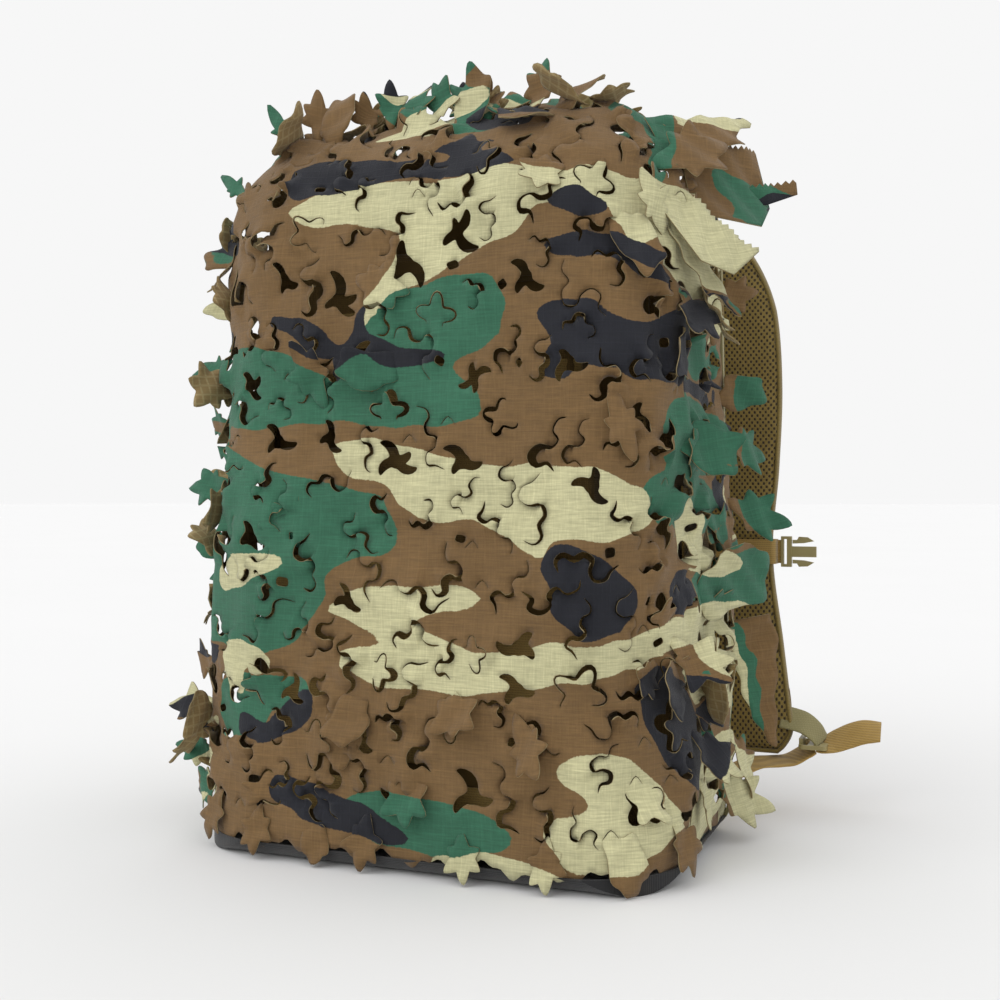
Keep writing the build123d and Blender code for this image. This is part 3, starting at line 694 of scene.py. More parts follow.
# Strips of cloth kept between cuts, and how far a cut's lift reaches and fades, in metres
HOLE_GAP, BIG_HOLE_GAP, SLIT_GAP, CHEVRON_GAP, WINDOW_GAP = 0.0048, 0.007, 0.0040, 0.003, 0.0042
BASE_MARGIN, HEM_MARGIN, SAME_PLACE = 0.030, 0.012, 0.055
SLIT_REACH, SLIT_FADE, FLAP_REACH, RIM_REACH, RIM_FADE = 0.036, 0.010, 0.03, 0.034, 0.009
LIFT_LIMITS = (-0.004, 0.013)
TRIES = 6000
BORDER_STEP, FILL_STEP = 0.0028, 0.0046


def slit_outline(line, width):
    """A closed lens round a line: widest past its first third, and pointed at both ends."""
    along = np.gradient(line, axis=0)
    along /= np.linalg.norm(along, axis=1, keepdims=True)
    side = np.stack([-along[:, 1], along[:, 0]], 1)
    share = np.linspace(0, 1, len(line))[:, None]
    half = width / 2 * np.sin(pi * share) ** 0.5 * (1 + 0.35 * np.sin(2 * pi * share))
    return np.vstack([line + side * half, (line - side * half)[-2:0:-1]])


def small_window(size, count=20):
    """A small square hole with rounded corners."""
    angles = np.linspace(0, 2 * pi, count, endpoint=False)
    radius = size / 2 / (np.abs(np.cos(angles)) ** 4 + np.abs(np.sin(angles)) ** 4) ** 0.25
    return np.stack([radius * np.cos(angles), radius * np.sin(angles)], 1)


def pointed_outline(tips, base, sharp=0.40, power=1.35, swirl=0.0, count=72):
    """A closed outline of lobes, blunter with power and bent by swirl: tips are (direction, length)."""
    angles = np.linspace(0, 2 * pi, count, endpoint=False)
    radius = np.full(count, float(base))
    for direction, length in tips:
        off = np.abs(np.angle(np.exp(1j * (angles - direction))))
        radius = np.maximum(radius, base + (length - base) * np.exp(-((off / sharp) ** power)))
    angles = angles + swirl * (radius / radius.max()) ** 2
    return np.stack([radius * np.cos(angles), radius * np.sin(angles)], 1)


def opening_outline(tips, base, swirl):
    """An open hole's outline: blunt, bent lobes."""
    return pointed_outline(tips, base, sharp=0.40, power=2.2, swirl=swirl)


def random_fingers(size):
    """Three or four uneven fingers."""
    count = rng.integers(3, 5)
    start = rng.uniform(0, 2 * pi)
    return [(start + 2 * pi * (k + rng.uniform(-0.16, 0.16)) / count, size * rng.uniform(0.62, 1.15))
            for k in range(count)]


def flap_line(size, lean):
    """Most of a lobed leaf's outline: the uncut rest is its hinge."""
    angles = np.linspace(radians(-30), radians(240), 36)
    radius = size * (0.8 + 0.25 * np.cos(4.4 * angles + lean))
    return np.stack([radius * np.cos(angles), radius * np.sin(angles)], 1)


def turned(points, angle):
    """Points turned round the origin."""
    c, s = cos(angle), sin(angle)
    return np.asarray(points) @ np.array([[c, s], [-s, c]])


class Cuts:
    """Places cuts on the hood so that they keep a strip of cloth between them."""

    def __init__(self):
        self.holes, self.rims, self.slits, self.flaps = [], [], [], []
        self.centres, self.lines = [], []

    def to_flat(self, p, q, local):
        """Local millimetres in the surface at (p, q) as flat cloth points."""
        _, across, up, _, dp, dq = COVER.frame(p, q)
        back = np.linalg.pinv(np.stack([dp, dq], 1))
        moves = local[:, :1] * MM * across + local[:, 1:] * MM * up
        return np.array([p, q]) + moves @ back.T

    def free(self, flat, gap):
        """Where a cut would lie, or None where it comes near others or the cloth's edges."""
        past_edge = COVER.outward(flat[:, 0], flat[:, 1])[0].max() > COVER.depth - HEM_MARGIN
        if past_edge or flat[:, 1].min() < BASE_MARGIN:
            return None
        points = COVER.place(flat[:, 0], flat[:, 1])
        centre = points.mean(0)
        if self.lines:
            close = np.nonzero(np.linalg.norm(np.array(self.centres) - centre, axis=1) < SAME_PLACE)[0]
            for k in close:
                if np.linalg.norm(points[:, None] - self.lines[k][None], axis=2).min() < gap:
                    return None
        self.centres.append(centre)
        self.lines.append(points)
        return points

    def add_hole(self, p, q, outline, gap=HOLE_GAP):
        """An open hole, its rim a little raised on one side."""
        flat = self.to_flat(p, q, outline)
        points = self.free(flat, gap)
        if points is not None:
            self.holes.append(flat)
            self.rims.append((points, rng.uniform(0, 2 * pi), rng.uniform(0.001, 0.0035)))

    def add_slit(self, p, q, line, width, lift, gap=SLIT_GAP):
        """A winding slit whose lips stand apart by lift."""
        points = self.free(self.to_flat(p, q, line), gap)
        if points is not None:
            self.holes.append(self.to_flat(p, q, slit_outline(line, width)))
            self.slits.append((points, lift))

    def add_flap(self, p, q, line, width, lift):
        """A leaf cut round most of its outline and turned up by lift, in radians."""
        flat = self.to_flat(p, q, line)
        points = self.free(flat, HOLE_GAP)
        if points is not None:
            self.holes.append(self.to_flat(p, q, slit_outline(line, width)))
            self.flaps.append((flat, points, lift))


# Open holes on the front, in millimetres on the flat cloth: p, q, then (direction in degrees, length) fingers
FRONT_HOLES = [
    (36, 426, [(200, 13), (-72, 20), (30, 16), (95, 9)]),
    (-56, 386, [(70, 21), (195, 11), (-60, 17), (-10, 15)]),
    (-100, 402, [(95, 15), (215, 10), (-40, 12)]), (-104, 290, [(100, 16), (200, 12), (-35, 14)]),
    (-60, 292, [(80, 13), (180, 10), (-80, 14)]), (-8, 275, [(95, 17), (190, 15), (-50, 16), (10, 12)]),
    (42, 274, [(110, 16), (220, 10), (-30, 14)]), (-42, 180, [(80, 14), (160, 13), (-50, 11)]),
    (52, 58, [(90, 20), (200, 16), (-25, 14)]),
    (-84, 118, [(60, 12), (180, 11), (-70, 12)]), (120, 336, [(100, 10), (210, 13), (-40, 13)]),
    (236, 378, [(95, 17), (180, 14), (-90, 14), (0, 12)]), (-128, 222, [(75, 13), (190, 9), (-60, 13)]),
    (82, 128, [(110, 14), (210, 12), (-30, 12)]), (-30, 90, [(75, 14), (190, 12), (-70, 13)]),
    (-112, 428, [(85, 15), (-100, 16), (20, 10)]), (140, 258, [(60, 12), (150, 13), (-80, 15)]),
    (88, 392, [(100, 16), (210, 12), (-60, 15)]), (-140, 330, [(100, 13), (-80, 13), (10, 11)]),
]


def lay_out_cuts():
    """Open holes first, then flaps and slits wherever there is room, and chevrons in what is left."""
    cuts = Cuts()
    for p, q, fingers in FRONT_HOLES:
        tips = [(radians(angle), length) for angle, length in fingers]
        cuts.add_hole(p * MM, q * MM, opening_outline(tips, 5.0, 0.6))
    for turn in range(TRIES):
        p, q = rng.uniform(-REACH, REACH), rng.uniform(0.03, HEIGHT)
        pick, size = rng.random(), rng.uniform(0.85, 1.3)
        on_side = abs(p) > COVER.half or q > COVER.top
        lean = rng.normal(0, 0.38) if rng.random() < 0.75 else pi / 2 + rng.normal(0, 0.3)
        if pick < 0.05 and turn < 2500:
            cuts.add_hole(p, q, opening_outline(random_fingers(16 * size), 4.6 * size, -0.6), BIG_HOLE_GAP)
        elif pick < (0.30 if on_side else 0.17):
            lift = rng.uniform(0.15, 0.5) * (1.6 if on_side else 1.0)
            outline = turned(flap_line(13.5 * size, lean * 3), lean * 4)
            cuts.add_flap(p, q, outline, rng.uniform(1.2, 3.4), lift)
        elif pick < 0.92:
            line = even(catmull(SLIT_LINES[turn % len(SLIT_LINES)]), 34) * (1, rng.choice((-1, 1))) * size
            width = rng.uniform(1.0, 3.6)
            lift = (1.2 + width * rng.uniform(0.7, 1.6)) * MM * (1.7 if on_side else 1.0)
            cuts.add_slit(p, q, turned(line, lean), width, lift * rng.choice((-1, 1)))
        elif turn > 2500 and pick < 0.96:
            cuts.add_slit(p, q, even(catmull(CHEVRON), 9) * size, 0.6, 0.0, CHEVRON_GAP)
        elif turn > 1200:
            cuts.add_hole(p, q, turned(small_window(5.6 * size), lean), WINDOW_GAP)
    return cuts


def leafy_border():
    """The cloth's outer edge on the flat: lobed leaves along the base and the rear hem."""
    base = 0.012
    route = COVER.border(BORDER_STEP, base=base)
    place = COVER.place(route[:, 0], route[:, 1])
    run = np.concatenate([[0], np.cumsum(np.linalg.norm(np.diff(place, axis=0), axis=1))])
    lobe = sum(size * np.sin(2 * pi * run / pitch + start)
               for size, pitch, start in ((1, 0.037, 0), (0.5, 0.0143, 1), (0.4, 0.083, 0)))
    along = np.gradient(route, axis=0)
    along /= np.maximum(np.linalg.norm(along, axis=1, keepdims=True), 1e-9)
    outward = np.stack([along[:, 1], -along[:, 0]], 1)
    return route + outward * (lobe * np.where(route[:, 1] <= base + 1e-6, 0.0034, 0.0040))[:, None]


def cover_filler(step):
    """Evenly spread points over the flat cloth, thinned where the upper corners bunch up."""
    fill = hex_grid((-REACH, 0.014), (REACH, HEIGHT), step)
    in_corner = (np.abs(fill[:, 0]) > COVER.half - COVER.corner) & (fill[:, 1] > COVER.top - COVER.corner)
    points = list(map(tuple, fill[~in_corner]))
    most = int(COVER.corner * pi / 2 / step) + 8
    for k, radius in enumerate(np.arange(step, COVER.corner + COVER.depth, step * 0.866)):
        count = min(max(2, int(radius * pi / 2 / step) + 1), most)
        for j in range(count):
            a = pi / 2 * (j + 0.5 * (k % 2)) / count
            p = COVER.half - COVER.corner + radius * cos(a)
            q = COVER.top - COVER.corner + radius * sin(a)
            points += [(-p, q), (p, q)]
    return points


def slit_lift(flat, points, line, height):
    """One lip of a slit up and the other a little down, swapping sides halfway along."""
    gap = points[:, None] - line[None]
    distance = np.linalg.norm(gap, axis=2)
    nearest = distance.argmin(1)
    share = nearest / (len(line) - 1)
    along = np.gradient(line, axis=0)[nearest]
    out = COVER.frame(flat[:, 0], flat[:, 1])[3]
    side = np.sign(np.einsum("ij,ij->i", np.cross(along, gap[np.arange(len(points)), nearest]), out))
    fade = np.exp(-((distance.min(1) / SLIT_FADE) ** 2)) * np.sin(pi * share) ** 1.2
    switch = np.where(share < 0.5, 1, -1)
    return np.where(side * switch * np.sign(height) > 0, 1.0, -0.3) * abs(height) * fade


def flap_lift(flat, points, flat_line, line, angle):
    """A flap turned up about its uncut hinge."""
    inside = inside_distance(flat / MM, flat_line / MM) > -0.9
    hinge = (line[0] + line[-1]) / 2
    middle = line.mean(0) - hinge
    forward = np.clip((points - hinge) @ (middle / np.linalg.norm(middle)), 0, None)
    return np.where(inside, forward * tan(angle) * np.minimum(1, 0.4 + 0.6 * forward / 0.02), 0)


def rim_lift(flat, points, line, heading, height):
    """An open hole's rim, raised on the side that heading points to."""
    offset = points - line.mean(0)
    distance = np.linalg.norm(points[:, None] - line[None], axis=2).min(1)
    _, across, up, _, _, _ = COVER.frame(flat[:, 0], flat[:, 1])
    facing = np.einsum("ij,ij->i", offset, across * cos(heading) + up * sin(heading))
    facing = facing / np.maximum(np.linalg.norm(offset, axis=1), 1e-6)
    return height * (0.3 + facing) * np.exp(-((distance / RIM_FADE) ** 2))


def lifted(flat, points, cuts):
    """How far each point stands out because of the cuts near it."""
    lift = np.zeros(len(points))

    def near_to(line, reach):
        return np.nonzero(np.linalg.norm(points - line.mean(0), axis=1) < reach)[0]

    for line, height in cuts.slits:
        near = near_to(line, SLIT_REACH)
        if height != 0 and len(near):
            lift[near] += slit_lift(flat[near], points[near], line, height)
    for flat_line, line, angle in cuts.flaps:
        near = near_to(line, FLAP_REACH)
        lift[near] += flap_lift(flat[near], points[near], flat_line, line, angle)
    for line, heading, height in cuts.rims:
        near = near_to(line, RIM_REACH)
        lift[near] += rim_lift(flat[near], points[near], line, heading, height)
    return np.clip(lift, *LIFT_LIMITS)


def make_cover(materials):
    """The leaf-cut hood: flat cloth with its cuts, wrapped over the form."""
    cuts = lay_out_cuts()
    flat, faces = cut_cloth(leafy_border(), cuts.holes, cover_filler(FILL_STEP))
    place, _, _, out, _, _ = COVER.frame(flat[:, 0], flat[:, 1])
    place = place + out * (lifted(flat, place, cuts) + crumple(place, flat[:, 0]))[:, None]
    place[:, 2] = np.maximum(place[:, 2], FLOOR_GAP)
    place[:, 1] = np.minimum(place[:, 1], HEM + 0.006)
    mesh = mesh_from("cover_cloth", place, faces)
    print_on(mesh, flat)
    obj = thicken(add_object("cover_cloth", mesh, materials), CLOTH_THICK, -1.0, 1, 2)
    return stand_for(obj, "cover", "camouflage_cloth", "cover_leaf_cloth")


# ---- loose leaves ----
def leaf_outline(kind, length, width):
    """A leaf in millimetres, its root at the origin and its tip along the first axis."""
    if kind == "pinked":
        teeth = np.arange(0, length, 5.0)
        upper = [(x + d, width / 2 - 2.4 * (d > 0)) for x in teeth for d in (0, 2.5)]
        return np.array([(-2, -width / 3), (length * 0.7, -width / 2), (length, -width / 5), *upper[::-1],
                         (-2, width / 3)])
    if kind == "tongue":
        angles = np.linspace(0, 2 * pi, 44, endpoint=False)
        ripple = 1 + 0.10 * np.cos(5 * angles + length) + 0.07 * np.cos(3 * angles + width)
        x = np.sign(np.cos(angles)) * np.abs(np.cos(angles)) ** 0.75 * ripple
        y = np.sign(np.sin(angles)) * np.abs(np.sin(angles)) ** 0.75 * ripple
        return np.stack([length / 2 * (1 + x), width / 2 * y], 1)
    if kind == "tent":
        upper = [(0, 0.46), (0.3, 0.38), (0.34, 0.32), (0.5, 0.36), (0.74, 0.3), (0.92, 0.34), (1.0, 0.22)]
        lower = [(0.95, 0.12), (0.9, 0.16), (0.8, 0.06), (0.7, -0.1), (0.72, -0.3), (0.5, -0.26),
                 (0.3, -0.44), (0.0, -0.5)]
        corners = np.array(lower[::-1] + upper[::-1]) * (length, width)
        return even(np.vstack([corners, corners[:1]]), 60)[:-1]
    if kind == "drop":
        share = np.array([-0.03, 0.1, 0.3, 0.55, 0.8, 0.95, 1.0])
        half = width / 2 * np.array([0.84, 1.0, 0.9, 0.62, 0.34, 0.2, 0.06])
        upper = even(catmull(np.stack([share * length, half], 1)), 30)
        lower = upper[::-1] * (1, -1) + (0, 1) * (0.06 * width * np.sin(upper[::-1, :1] / length * 7))
        return np.vstack([lower, upper])[::-1]
    side, skew = width * 0.62, 0.35 * sin(length * 2.1 + width)
    tips = [(pi, length * 0.54), (0.15 * skew, length * 0.54)]
    for angle, share in ((58, 1), (-54, 1.08), (118, 0.9), (-124, 0.8)):
        tips.append((radians(angle) + skew, side * share))
    return pointed_outline(tips, width * 0.30) + (length * 0.5, 0)


def leaf(p, q, turn, lift, length, width, curl, kind="lobed"):
    """One leaf cut from the cloth at (p, q): its points, faces, flat places.  Millimetres and degrees."""
    p, q, length_m = p * MM, q * MM, length * MM
    outline = leaf_outline(kind, length, width)
    fill = hex_grid(outline.min(0), outline.max(0), 4.4)
    fill = fill[inside_distance(fill, outline) > 1.6]
    local, faces = cut_cloth(outline, [], fill, 1.4)
    place, across, up, out, _, _ = COVER.frame(p, q)
    place = place + out * (crumple([place], np.array([p]))[0] - 0.0006)
    heading = across * cos(radians(turn)) + up * sin(radians(turn))
    ahead = heading * cos(radians(lift)) + out * sin(radians(lift))
    side = np.cross(out, heading)
    normal = np.cross(ahead, side)
    u, v = local[:, 0] * MM, local[:, 1] * MM
    bend = radians(curl if abs(curl) > 1 else 1)
    along = length_m / bend * np.sin(bend * u / length_m)
    cup = 6.0 * v**2 + 0.0012 * np.sin(u * 260 + v * 170)
    rise = length_m / bend * (1 - np.cos(bend * u / length_m)) + cup
    twist = radians(0.5 * curl) * u / length_m
    if kind == "drop":  # hangs rolled, so that it shows its face to the side
        twist, v = twist + radians(50), v + 0.30 * width * MM
    points = (place + along[:, None] * ahead + (v * np.cos(twist))[:, None] * side
              + (rise + v * np.sin(twist))[:, None] * normal)
    points[:, 1] += 0.7 * np.maximum(COVER.front - FRONT_ROOM - points[:, 1], 0)
    points[:, 2] = np.maximum(points[:, 2], LEAF_FLOOR_GAP)
    c, s = cos(radians(turn)), sin(radians(turn))
    flat = np.stack([p + u * c - v * s, q + u * s + v * c], 1)
    return points, faces, flat


def make_leaves(name, node, entries, materials):
    """A group of loose leaves as one piece."""
    leaves = [leaf(*entry) for entry in entries]
    points, faces = joined([(some, these) for some, these, _ in leaves])
    flat = np.vstack([places for _, _, places in leaves])
    mesh = mesh_from(name, points, faces)
    print_on(mesh, flat)
    obj = thicken(add_object(name, mesh, materials), CLOTH_THICK, 0.0, 1, 2)
    return stand_for(obj, "cover", "camouflage_cloth", node)


# Leaves seen in the outline: p, q, turn, lift, length, width, curl, kind
LEFT_LEAVES = [(-208, 500, 150, 30, 46, 15, 30, "lobed"), (-214, 452, 178, 34, 44, 26, -20, "lobed"),
               (-210, 436, 190, 28, 40, 20, 35, "tongue"), (-206, 352, 200, 30, 40, 24, 40, "lobed"),
               (-214, 306, 176, 42, 34, 22, -30, "lobed"), (-208, 262, 190, 36, 42, 28, 25, "lobed"),
               (-212, 214, 170, 25, 30, 22, 40, "tongue"), (-212, 128, 182, 38, 44, 26, -25, "lobed"),
               (-208, 100, 196, 34, 46, 28, 30, "lobed"), (-206, 62, 178, 30, 42, 24, 40, "lobed"),
               (-210, 40, 200, 36, 44, 30, -20, "lobed"), (-206, 392, 172, 24, 30, 18, 50, "tongue")]
CROWN_LEAVES = [(-98, 548, 100, 38, 42, 24, 30, "lobed"), (-84, 542, 80, 46, 40, 28, -20, "tongue"),
                (-38, 556, 96, 44, 36, 22, 35, "lobed"), (-24, 548, 75, 41, 44, 26, -25, "lobed"),
                (-4, 552, 60, 36, 38, 26, 40, "lobed"), (28, 562, 84, 43, 36, 20, 30, "tongue"),
                (40, 556, 104, 46, 32, 24, -30, "lobed"), (74, 556, 66, 40, 40, 26, 30, "lobed"),
                (96, 552, 50, 37, 42, 26, -35, "tongue"), (-128, 536, 126, 33, 48, 14, 20, "lobed"),
                (-60, 562, 110, 33, 34, 22, 55, "lobed"), (10, 580, 90, 34, 34, 24, 50, "lobed")]
RIGHT_LEAVES = [(204, 512, 22, 26, 96, 46, -20, "tent"), (238, 470, 6, 30, 74, 62, -14, "pinked"),
                (262, 462, 8, 44, 78, 15, 16, "pinked"), (212, 452, -58, 16, 70, 40, 22, "pinked"),
                (196, 480, 24, 22, 66, 40, -24, "lobed"), (268, 500, 36, 46, 40, 22, -40, "lobed"),
                (226, 430, -74, 16, 74, 30, 14, "tent"),
                (284, 184, 12, 24, 80, 46, 8, "tongue"), (366, 328, 6, 38, 40, 26, 24, "tongue"),
                (362, 292, -14, 36, 54, 34, -24, "lobed"), (362, 248, -30, 34, 56, 36, 26, "lobed"),
                (368, 156, -86, 6, 96, 42, 10, "drop"), (350, 80, -62, 22, 62, 40, -18, "lobed"),
                (330, 44, -34, 30, 56, 36, 24, "lobed"), (352, 398, 14, 34, 40, 26, 26, "lobed"),
                (250, 96, -70, 30, 44, 34, 30, "lobed"), (226, 158, -50, 26, 48, 36, 34, "lobed"),
                (240, 292, -28, 24, 46, 34, 30, "tongue"), (300, 236, -20, 22, 56, 38, -20, "lobed")]
HEM_LEAVES = [(-24, 40, -96, 14, 38, 26, -18, "lobed"), (44, 34, -84, 12, 32, 24, -14, "lobed"),
              (104, 36, -92, 14, 34, 24, -18, "lobed"), (-110, 38, -98, 16, 34, 24, -20, "lobed"),
              (-160, 44, -110, 20, 40, 26, -24, "lobed"), (160, 40, -76, 16, 38, 26, -22, "tongue"),
              (-66, 30, -80, 10, 26, 20, -12, "tongue"), (212, 46, -70, 24, 42, 28, -30, "lobed")]


def strewn(count, low, high, lift):
    """Random leaves inside a flat rectangle in millimetres."""
    kinds = ("lobed", "lobed", "tongue")
    return [(rng.uniform(low[0], high[0]), rng.uniform(low[1], high[1]), rng.uniform(0, 360),
             rng.uniform(*lift), rng.uniform(30, 50), rng.uniform(22, 36), rng.uniform(-34, 40), kinds[k % 3])
            for k in range(count)]


# Name, CAD node, the leaves seen, then how many more, between which flat corners, and their lift
LEAF_GROUPS = (
    ("left_leaves", "left_edge_leaves", LEFT_LEAVES, (24, (-350, 40), (-205, 470), (12, 46))),
    ("crown_leaf_group", "crown_leaves", CROWN_LEAVES, (22, (-150, 535), (150, 690), (10, 32))),
    ("right_leaves", "right_edge_leaves", RIGHT_LEAVES, (15, (190, 60), (340, 440), (10, 32))),
    ("front_leaves", "hem_leaves", HEM_LEAVES, (12, (-160, 60), (170, 480), (7, 16))),
)


# ---- padded pieces by cloth simulation ----
def copy_of(name, *nodes):
    """CAD nodes' meshes as one new mesh."""
    parts = []
    for node in nodes:
        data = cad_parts[node].data
        parts.append(([v.co.copy() for v in data.vertices], [tuple(face.vertices) for face in data.polygons]))
    return mesh_from(name, *joined(parts))


def swell(obj, voxel, cap, pressure=4.0, frames=20):
    """Remeshes a solid and blows it up a little as cloth, so that it crowns like a filled pad."""
    bpy.context.view_layer.objects.active = obj
    obj.select_set(True)
    remesh = obj.modifiers.new("even", "REMESH")
    remesh.mode = "VOXEL"
    remesh.voxel_size = voxel
    bpy.ops.object.modifier_apply(modifier=remesh.name)
    rest = np.array([v.co for v in obj.data.vertices])
    outward = np.array([v.normal for v in obj.data.vertices])
    cloth = obj.modifiers.new("pad", "CLOTH")
    cloth.settings.use_pressure = True
    cloth.settings.uniform_pressure_force = pressure
    cloth.settings.effector_weights.gravity = 0
    cloth.settings.quality = 5
    scene = bpy.context.scene
    for step in range(1, frames + 1):
        scene.frame_set(step)
    bpy.ops.object.modifier_apply(modifier=cloth.name)
    now = np.array([v.co for v in obj.data.vertices])
    move = now - rest
    rise = np.sum(move * outward, axis=1, keepdims=True)
    move = move - outward * np.minimum(rise, 0)
    far = np.linalg.norm(move, axis=1, keepdims=True)
    now = rest + move * np.minimum(1, cap / np.maximum(far, 1e-9)) + outward * 0.0006
    obj.data.vertices.foreach_set("co", now.astype(np.float32).ravel())
    obj.data.update()
    scene.frame_set(1)
    smooth = obj.modifiers.new("finer", "SUBSURF")
    smooth.levels = smooth.render_levels = 1
    obj.data.polygons.foreach_set("use_smooth", [True] * len(obj.data.polygons))
    obj.select_set(False)
    return obj


def mirror_x(obj, name):
    """A mirrored copy of a piece."""
    points = [(-v.co.x, v.co.y, v.co.z) for v in obj.data.vertices]
    faces = [tuple(reversed(face.vertices)) for face in obj.data.polygons]
    mesh = mesh_from(name, points, faces)
    made = add_object(name, mesh, list(obj.data.materials))
    mesh.polygons.foreach_set("material_index", [face.material_index for face in obj.data.polygons])
    for old in obj.modifiers:
        if old.type == "SUBSURF":
            new = made.modifiers.new(old.name, old.type)
            new.levels = new.render_levels = old.levels
    return made


# ---- bands and tubes ----
def sweep(line, across, section, closed=False):
    """Points and faces of a section (across, then along the normal) carried along a line."""
    line, across = np.asarray(line, float), np.asarray(across, float)
    if closed:
        along = np.roll(line, -1, 0) - np.roll(line, 1, 0)
    else:
        along = np.gradient(line, axis=0)
    along /= np.linalg.norm(along, axis=1, keepdims=True)
    across = np.broadcast_to(across, line.shape)
    across = across - np.sum(across * along, axis=1, keepdims=True) * along
    across = across / np.linalg.norm(across, axis=1, keepdims=True)
    normal = np.cross(along, across)
    section = np.asarray(section)
    if section.ndim == 2:
        section = np.broadcast_to(section, (len(line), *section.shape))
    points = line[:, None] + section[:, :, :1] * across[:, None] + section[:, :, 1:] * normal[:, None]
    around, count = section.shape[1], len(line)
    faces = []
    for i in range(count if closed else count - 1):
        j = (i + 1) % count
        for a in range(around):
            b = (a + 1) % around
            faces.append((i * around + a, i * around + b, j * around + b, j * around + a))
    if not closed:
        faces += [tuple(range(around))[::-1], tuple((count - 1) * around + a for a in range(around))]
    return [tuple(v) for v in points.reshape(-1, 3)], faces


def band_section(width, thickness):
    """A flat band's section with rounded selvedges."""
    w, t, r = width / 2, thickness / 2, thickness * 0.4
    quarter = [(w - r, t), (w - r * 0.3, t * 0.75), (w, 0), (w - r * 0.3, -t * 0.75), (w - r, -t)]
    top = [(x, t) for x in np.linspace(-w * 0.6, w * 0.6, 4)[::-1]]
    return np.array(quarter[::-1] + top + [(-x, y) for x, y in quarter] + [(x, -t) for x, _ in top[::-1]])


def oval_section(a, b, count):
    """An oval with half axes a and b."""
    turn = np.linspace(0, 2 * pi, count, endpoint=False)
    return np.stack([a * np.cos(turn), b * np.sin(turn)], 1)


def band(name, points, flip, width, thickness, across, material, per_span=8):
    """A webbing band along a smooth line; flip is -1 for the left-hand side."""
    line = catmull(np.array(points) * (flip, 1, 1), per_span) * MM
    made, faces = sweep(line, across, band_section(width * MM, thickness * MM))
    return add_object(name, mesh_from(name, made, faces), [material])


# ---- shoulder straps ----
# The strap's middle line and the bands below it, in millimetres, on the right-hand side
STRAP_LINE = [(82, 110, 454), (91, 130, 469), (112, 149, 474), (136, 160, 462), (154, 167, 436),
              (165, 174, 398), (169, 181, 340), (167, 187, 275), (163, 189, 205), (174, 186, 130),
              (187.5, 176, 46)]
END_TAB = [(206, 177.5, 74), (216, 178.5, 72), (225, 179, 69), (233, 179.5, 62.5), (238, 180, 55)]
TAIL = [(234, 180, 51.5), (240, 180, 53), (249, 180, 56.5), (260, 180, 61.5), (270, 180, 65), (283, 180, 66)]
TAIL_ACROSS = [(0, 0.98, 0.2), (0, 0.92, 0.4), (0, 0.8, 0.6), (0, 0.74, 0.67), (0, 0.78, 0.62),
               (0, 0.9, 0.45)]
LOWER_BAND = [(152, 103, 26), (164, 108, 30), (176, 128, 36), (189, 149, 40.5), (203, 164, 40),
              (214, 173, 40.5), (224, 178.5, 46), (231, 179.5, 51)]
BINDING_HALF_WIDTH, BINDING_HALF_THICK, BINDING_INSET = 0.0060, 0.0021, 0.001
DAISY = slice(16, 174)
DAISY_OFF = 0.0086


def strap_frame():
    """The strap's middle line in metres, its width at each point and its direction towards the pack."""
    line = even(catmull(STRAP_LINE, 16), 180) * MM
    share = np.linspace(0, 1, len(line))
    width = np.where(share < 0.3, 60 + 50 * share, 75 - 15 * (share - 0.3) / 0.7)
    width = (width - 26 * np.maximum(0, 1 - (1 - share) / 0.045) ** 2) * MM
    along = np.gradient(line, axis=0)
    along[:, 0] = 0
    along /= np.linalg.norm(along, axis=1, keepdims=True)
    inward = np.stack([np.zeros(len(line)), along[:, 2], -along[:, 1]], 1)
    return line, width, inward


def swept(name, line, across, section, material):
    """A section carried along a line, as an object."""
    return add_object(name, mesh_from(name, *sweep(line, across, section)), [material])


def strap_pad(mats, line, inward):
    """The right pad, its face towards the pack in mesh and the rest in cloth."""
    pad = add_object("strap_pad_right", copy_of("strap_pad_right", "strap_foam_right"),
                     [mats["mesh"], mats["nylon"]])
    if SIMULATED:
        swell(pad, 0.0045, 0.0011)
    tree = search_tree(line)
    for face in pad.data.polygons:
        towards = inward[tree.find(face.center)[1]]
        face.material_index = 0 if face.normal.dot(Vector(towards)) > 0.25 else 1
    return pad


def make_strap(side, flip, pad, mats):
    """One strap's pad, bound edge and webbing, and the bands at its lower end."""
    line, width, inward = strap_frame()
    body = "strap_" + side
    stand_for(pad, body, "back_mesh", "strap_foam_" + side, "strap_mesh_lining_" + side)
    middle = line * (flip, 1, 1)
    to_edge = (width / 2 - BINDING_INSET)[:, None] * np.array([flip, 0, 0])
    bound = swept("strap_binding_" + side, np.vstack([middle + to_edge, (middle - to_edge)[::-1]]),
                  np.vstack([inward, inward[::-1]]), oval_section(BINDING_HALF_WIDTH, BINDING_HALF_THICK, 14),
                  mats["binding"])
    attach(bound, body)
    daisy = swept("strap_daisy_band_" + side, middle[DAISY] - inward[DAISY] * DAISY_OFF, (1, 0, 0),
                  band_section(0.025, 0.0016), mats["webbing"])
    stand_for(daisy, body, "webbing", "strap_daisy_webbing_" + side)
    tab = band("strap_tab_" + side, END_TAB, flip, 24, 1.8, (0, 0.8, 0.6), mats["tab"])
    stand_for(tab, body, "webbing", "strap_end_tab_" + side)
    tail = band("strap_tail_band_" + side, TAIL, flip, 25, 1.8, catmull(TAIL_ACROSS, 8), mats["tail"])
    stand_for(tail, body, "webbing", "strap_tail_" + side)
    low = band("lower_band_" + side, LOWER_BAND, flip, 24.5, 1.7, (flip * 0.55, -1, -0.16), mats["tail"], 10)
    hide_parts("lower_webbing_" + side)
    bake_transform(low)


